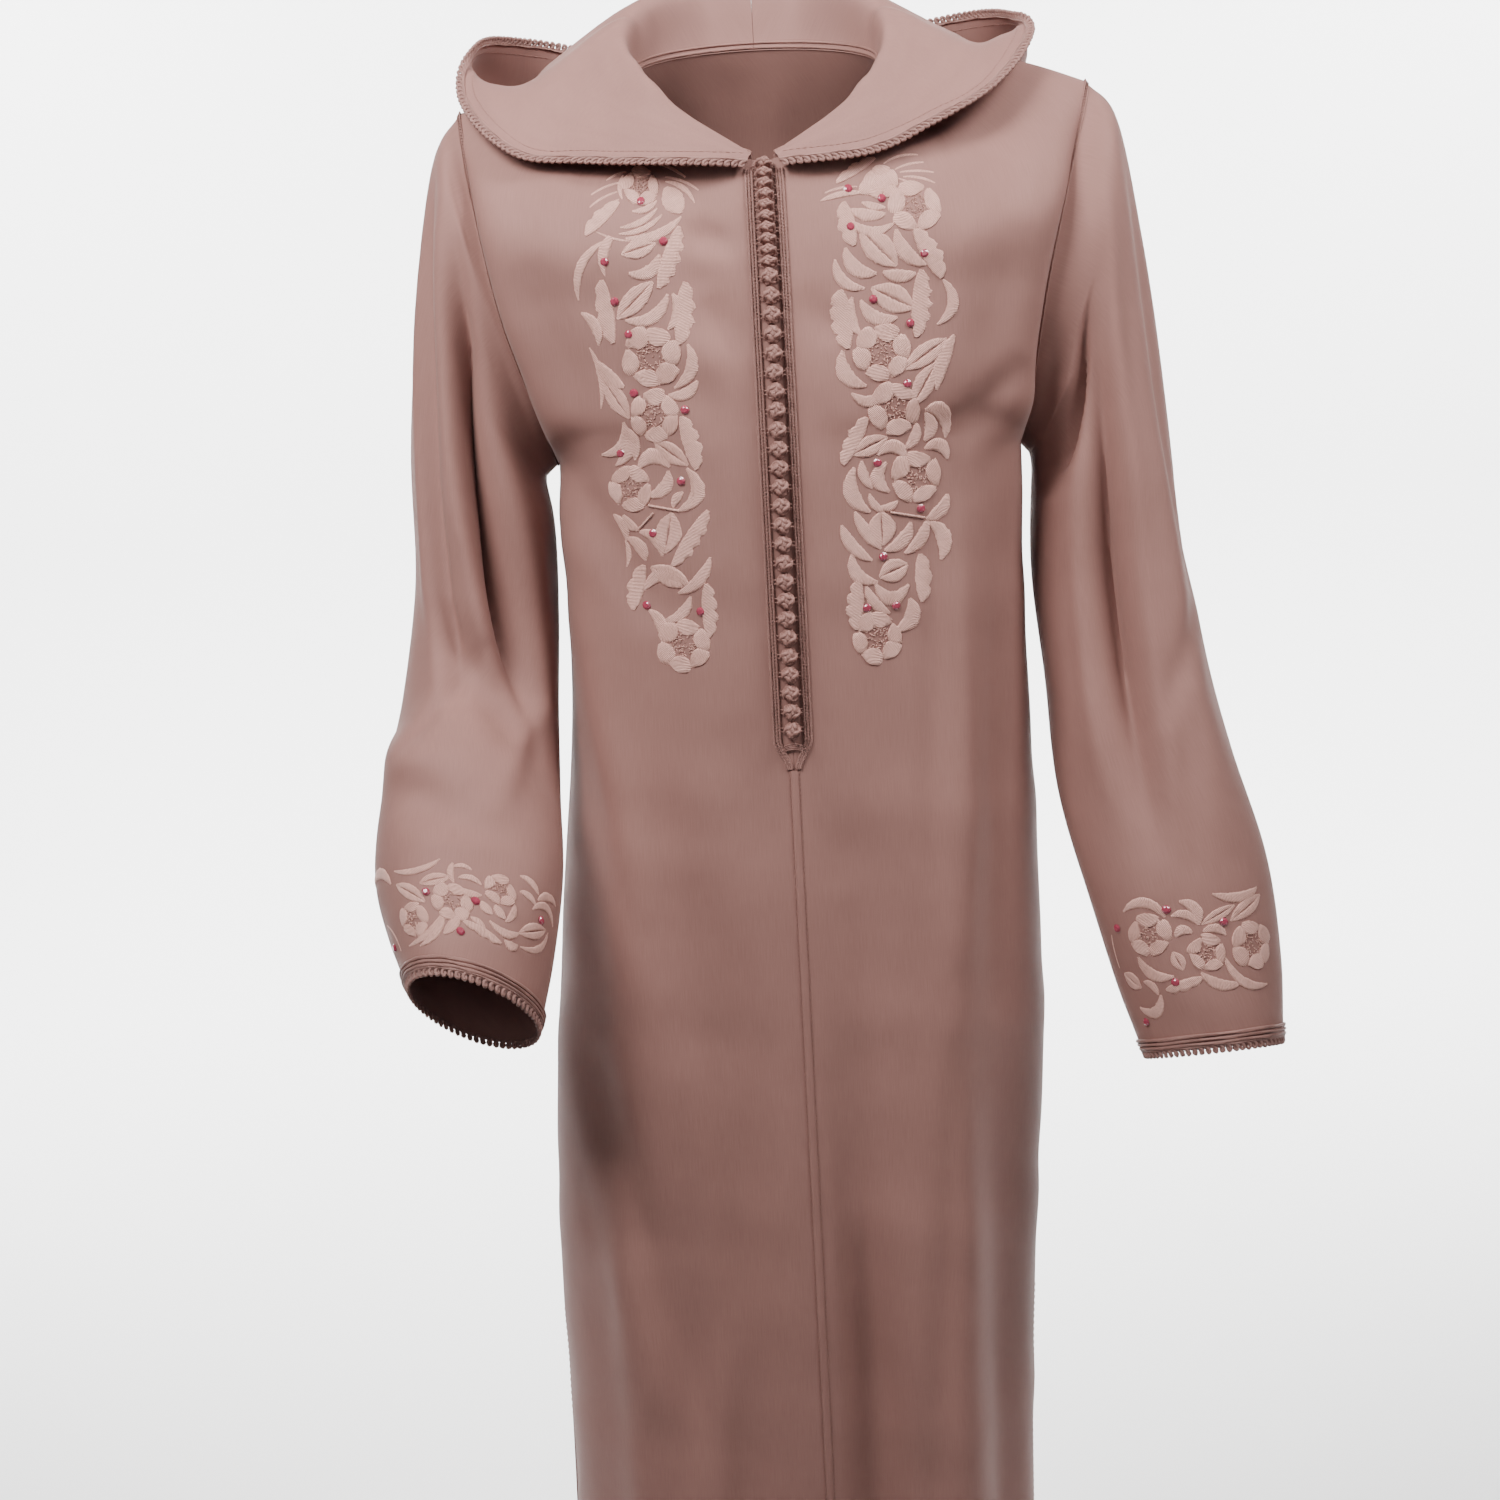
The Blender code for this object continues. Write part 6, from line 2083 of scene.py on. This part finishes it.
def make_materials():
    """All the finishes by name."""
    effects = {"weave": weave_group(), "thread": thread_group(), "satin": satin_group()}
    made = {finish: finish_material(name, effects[effect], *values)
            for finish, name, effect, *values in FINISHES}
    made["stone"] = stone_material()
    made["floor"] = floor_material()
    return made


def studio_floor(material):
    """A pale floor that curves up behind the robe."""
    sweep = []
    for step in range(FLOOR_STEPS + 1):
        turn = 0.5 * math.pi * step / FLOOR_STEPS
        sweep.append((COVE_START + COVE_RADIUS * math.sin(turn),
                      FLOOR_Z + COVE_RADIUS * (1 - math.cos(turn))))
    profile = [(-FLOOR_REACH, FLOOR_Z)] + sweep + [(COVE_START + COVE_RADIUS, COVE_TOP)]
    grid = np.array([[(x, y, z) for x in np.linspace(-FLOOR_HALF, FLOOR_HALF, 9)]
                     for y, z in profile])
    bundle = Bundle()
    bundle.add(grid, [grid_faces(*grid.shape[:2])], grid[..., :2].copy())
    return bundle.piece("studio_floor", material)


def soft_light(name, place, aim, size, spread, power, colour):
    """A soft box light aimed at a point."""
    lamp = bpy.data.lights.new(name, "AREA")
    lamp.shape = "RECTANGLE"
    lamp.size, lamp.size_y = size
    lamp.spread = math.radians(spread)
    lamp.energy = power
    lamp.color = colour
    item = bpy.data.objects.new(name, lamp)
    item.location = place
    item.rotation_euler = (Vector(aim) - Vector(place)).to_track_quat("-Z", "Y").to_euler()
    bpy.context.scene.collection.objects.link(item)
    return item


def studio_lights():
    """Soft studio light, strongest on the shoulders and chest."""
    for row in LIGHTS:
        soft_light(*row)
    world = bpy.data.worlds.new("pale_room")
    world.use_nodes = True
    backdrop = world.node_tree.nodes["Background"]
    backdrop.inputs["Color"].default_value = ROOM_COLOUR
    backdrop.inputs["Strength"].default_value = ROOM_LIGHT
    bpy.context.scene.world = world


def photo_camera():
    """The camera at the photograph's angle."""
    lens = bpy.data.cameras.new("front_camera")
    lens.lens = CAMERA_LENS
    lens.sensor_width = CAMERA_SENSOR
    camera = bpy.data.objects.new("front_camera", lens)
    tilt = math.radians(CAMERA_TILT)
    forward = Vector((0.0, math.cos(tilt), -math.sin(tilt)))
    place = Vector(CAMERA_AIM) - forward * CAMERA_AWAY
    roll = Matrix.Rotation(math.radians(CAMERA_ROLL), 3, forward)
    turn = roll @ Euler((math.radians(90.0) - tilt, 0.0, 0.0)).to_matrix()
    camera.matrix_world = Matrix.Translation(place) @ turn.to_4x4()
    bpy.context.scene.collection.objects.link(camera)
    bpy.context.scene.camera = camera


def slot_of(label):
    """The record's material slot of a CAD node's piece."""
    for start, slot in SLOTS:
        if label.startswith(start):
            return slot
    return "robe_cloth"


def declare_cloth():
    """Run through the flat cut table, reading what each cloth piece rests on and what is sewn on it;
    nothing is kept.
    """
    for label, flat, area, held, rests_on, sewn_on in CUTS:
        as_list(rests_on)
        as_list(sewn_on)


def main():
    """Build the robe."""
    finishes = make_materials()
    chance = np.random.default_rng(11)
    pieces = {}
    cloths = {}
    for side in (RIGHT, LEFT):
        name = SIDE_NAMES[side]
        grid, inward = half_panel("front", side)
        cloths["front", side] = Surface(grid, inward)
        pieces["front_" + name] = cloth_piece("front_" + name + "_cloth", grid, inward, CLOTH_THICK,
                                              finishes["robe_cloth"], reverse=side == RIGHT)
        grid, inward = sleeve_grid(side)
        cloths["sleeve", side] = Surface(grid, inward, closed=True)
        pieces["sleeve_" + name] = cloth_piece("sleeve_" + name + "_cloth", grid, inward,
                                               CLOTH_THICK, finishes["robe_cloth"], closed=True,
                                               reverse=side == RIGHT)
        grid, inward = hood_grid(side)
        cloths["hood", side] = turned_over(grid, inward, HOOD_THICK)
        pieces["hood_" + name] = cloth_piece("hood_" + name + "_cloth", grid, inward, HOOD_THICK,
                                             finishes["hood_cloth"], reverse=side == LEFT)
    grid, inward = whole_back()
    cloths["back"] = Surface(grid, inward)
    pieces["back"] = cloth_piece("back_cloth", grid, inward, CLOTH_THICK, finishes["robe_cloth"],
                                 reverse=True)

    seams = Bundle()
    extras = []
    for side in (RIGHT, LEFT):
        name = SIDE_NAMES[side]
        front, sleeve, hood = (cloths[part, side] for part in ("front", "sleeve", "hood"))
        pieces["sfifa_" + name] = braid(front, "sfifa_braid_" + name, finishes)
        pieces["cuff_band_" + name] = cuff_band("cuff_cords_" + name, sleeve, finishes)
        pieces["cuff_loops_" + name] = edge_loops("cuff_loop_cord_" + name, sleeve, finishes,
                                                  closed=True)
        pieces["hood_loops_" + name] = edge_loops("hood_loop_cord_" + name, hood, finishes)
        armhole_seam(sleeve, seams)
        hood_lines(hood, seams)
        panel_lines(front, seams)
        lay, per_degree = cuff_layer(sleeve, side)
        chart = CUFF_RIGHT if side == RIGHT else CUFF_LEFT
        extras += embroider("cuff_" + name, chart, lay, finishes, chance, per_degree, side)
    panel_lines(cloths["back"], seams, whole=True)
    extras.append(seams.piece("seam_cords_and_stitches", finishes["seam_thread"]))
    fronts = {side: cloths["front", side] for side in (RIGHT, LEFT)}
    lay = chest_layer([fronts[side].grid for side in (RIGHT, LEFT)])
    extras += embroider("chest_right", CHEST_RIGHT, lay, finishes, chance)
    extras += embroider("chest_left", CHEST_LEFT, lay, finishes, chance)
    tuck_cloth, tuck_stitches = tuck(fronts, finishes)
    pieces["front_tuck"] = tuck_cloth
    extras += [tuck_stitches, slit_end_bar(fronts, finishes)]
    ball_knots = knots(cloths["front", LEFT], finishes, chance)
    extras.append(ball_knots)

    for label, piece in pieces.items():
        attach(piece, "root")
        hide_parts(label)
        slot_of(label)
    for piece in extras:
        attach(piece, "root")
    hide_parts(*[f"aakad_{number:02d}" for number in range(1, BUTTON_COUNT + 1)])
    declare_cloth()
    studio_floor(finishes["floor"])
    studio_lights()
    photo_camera()


main()
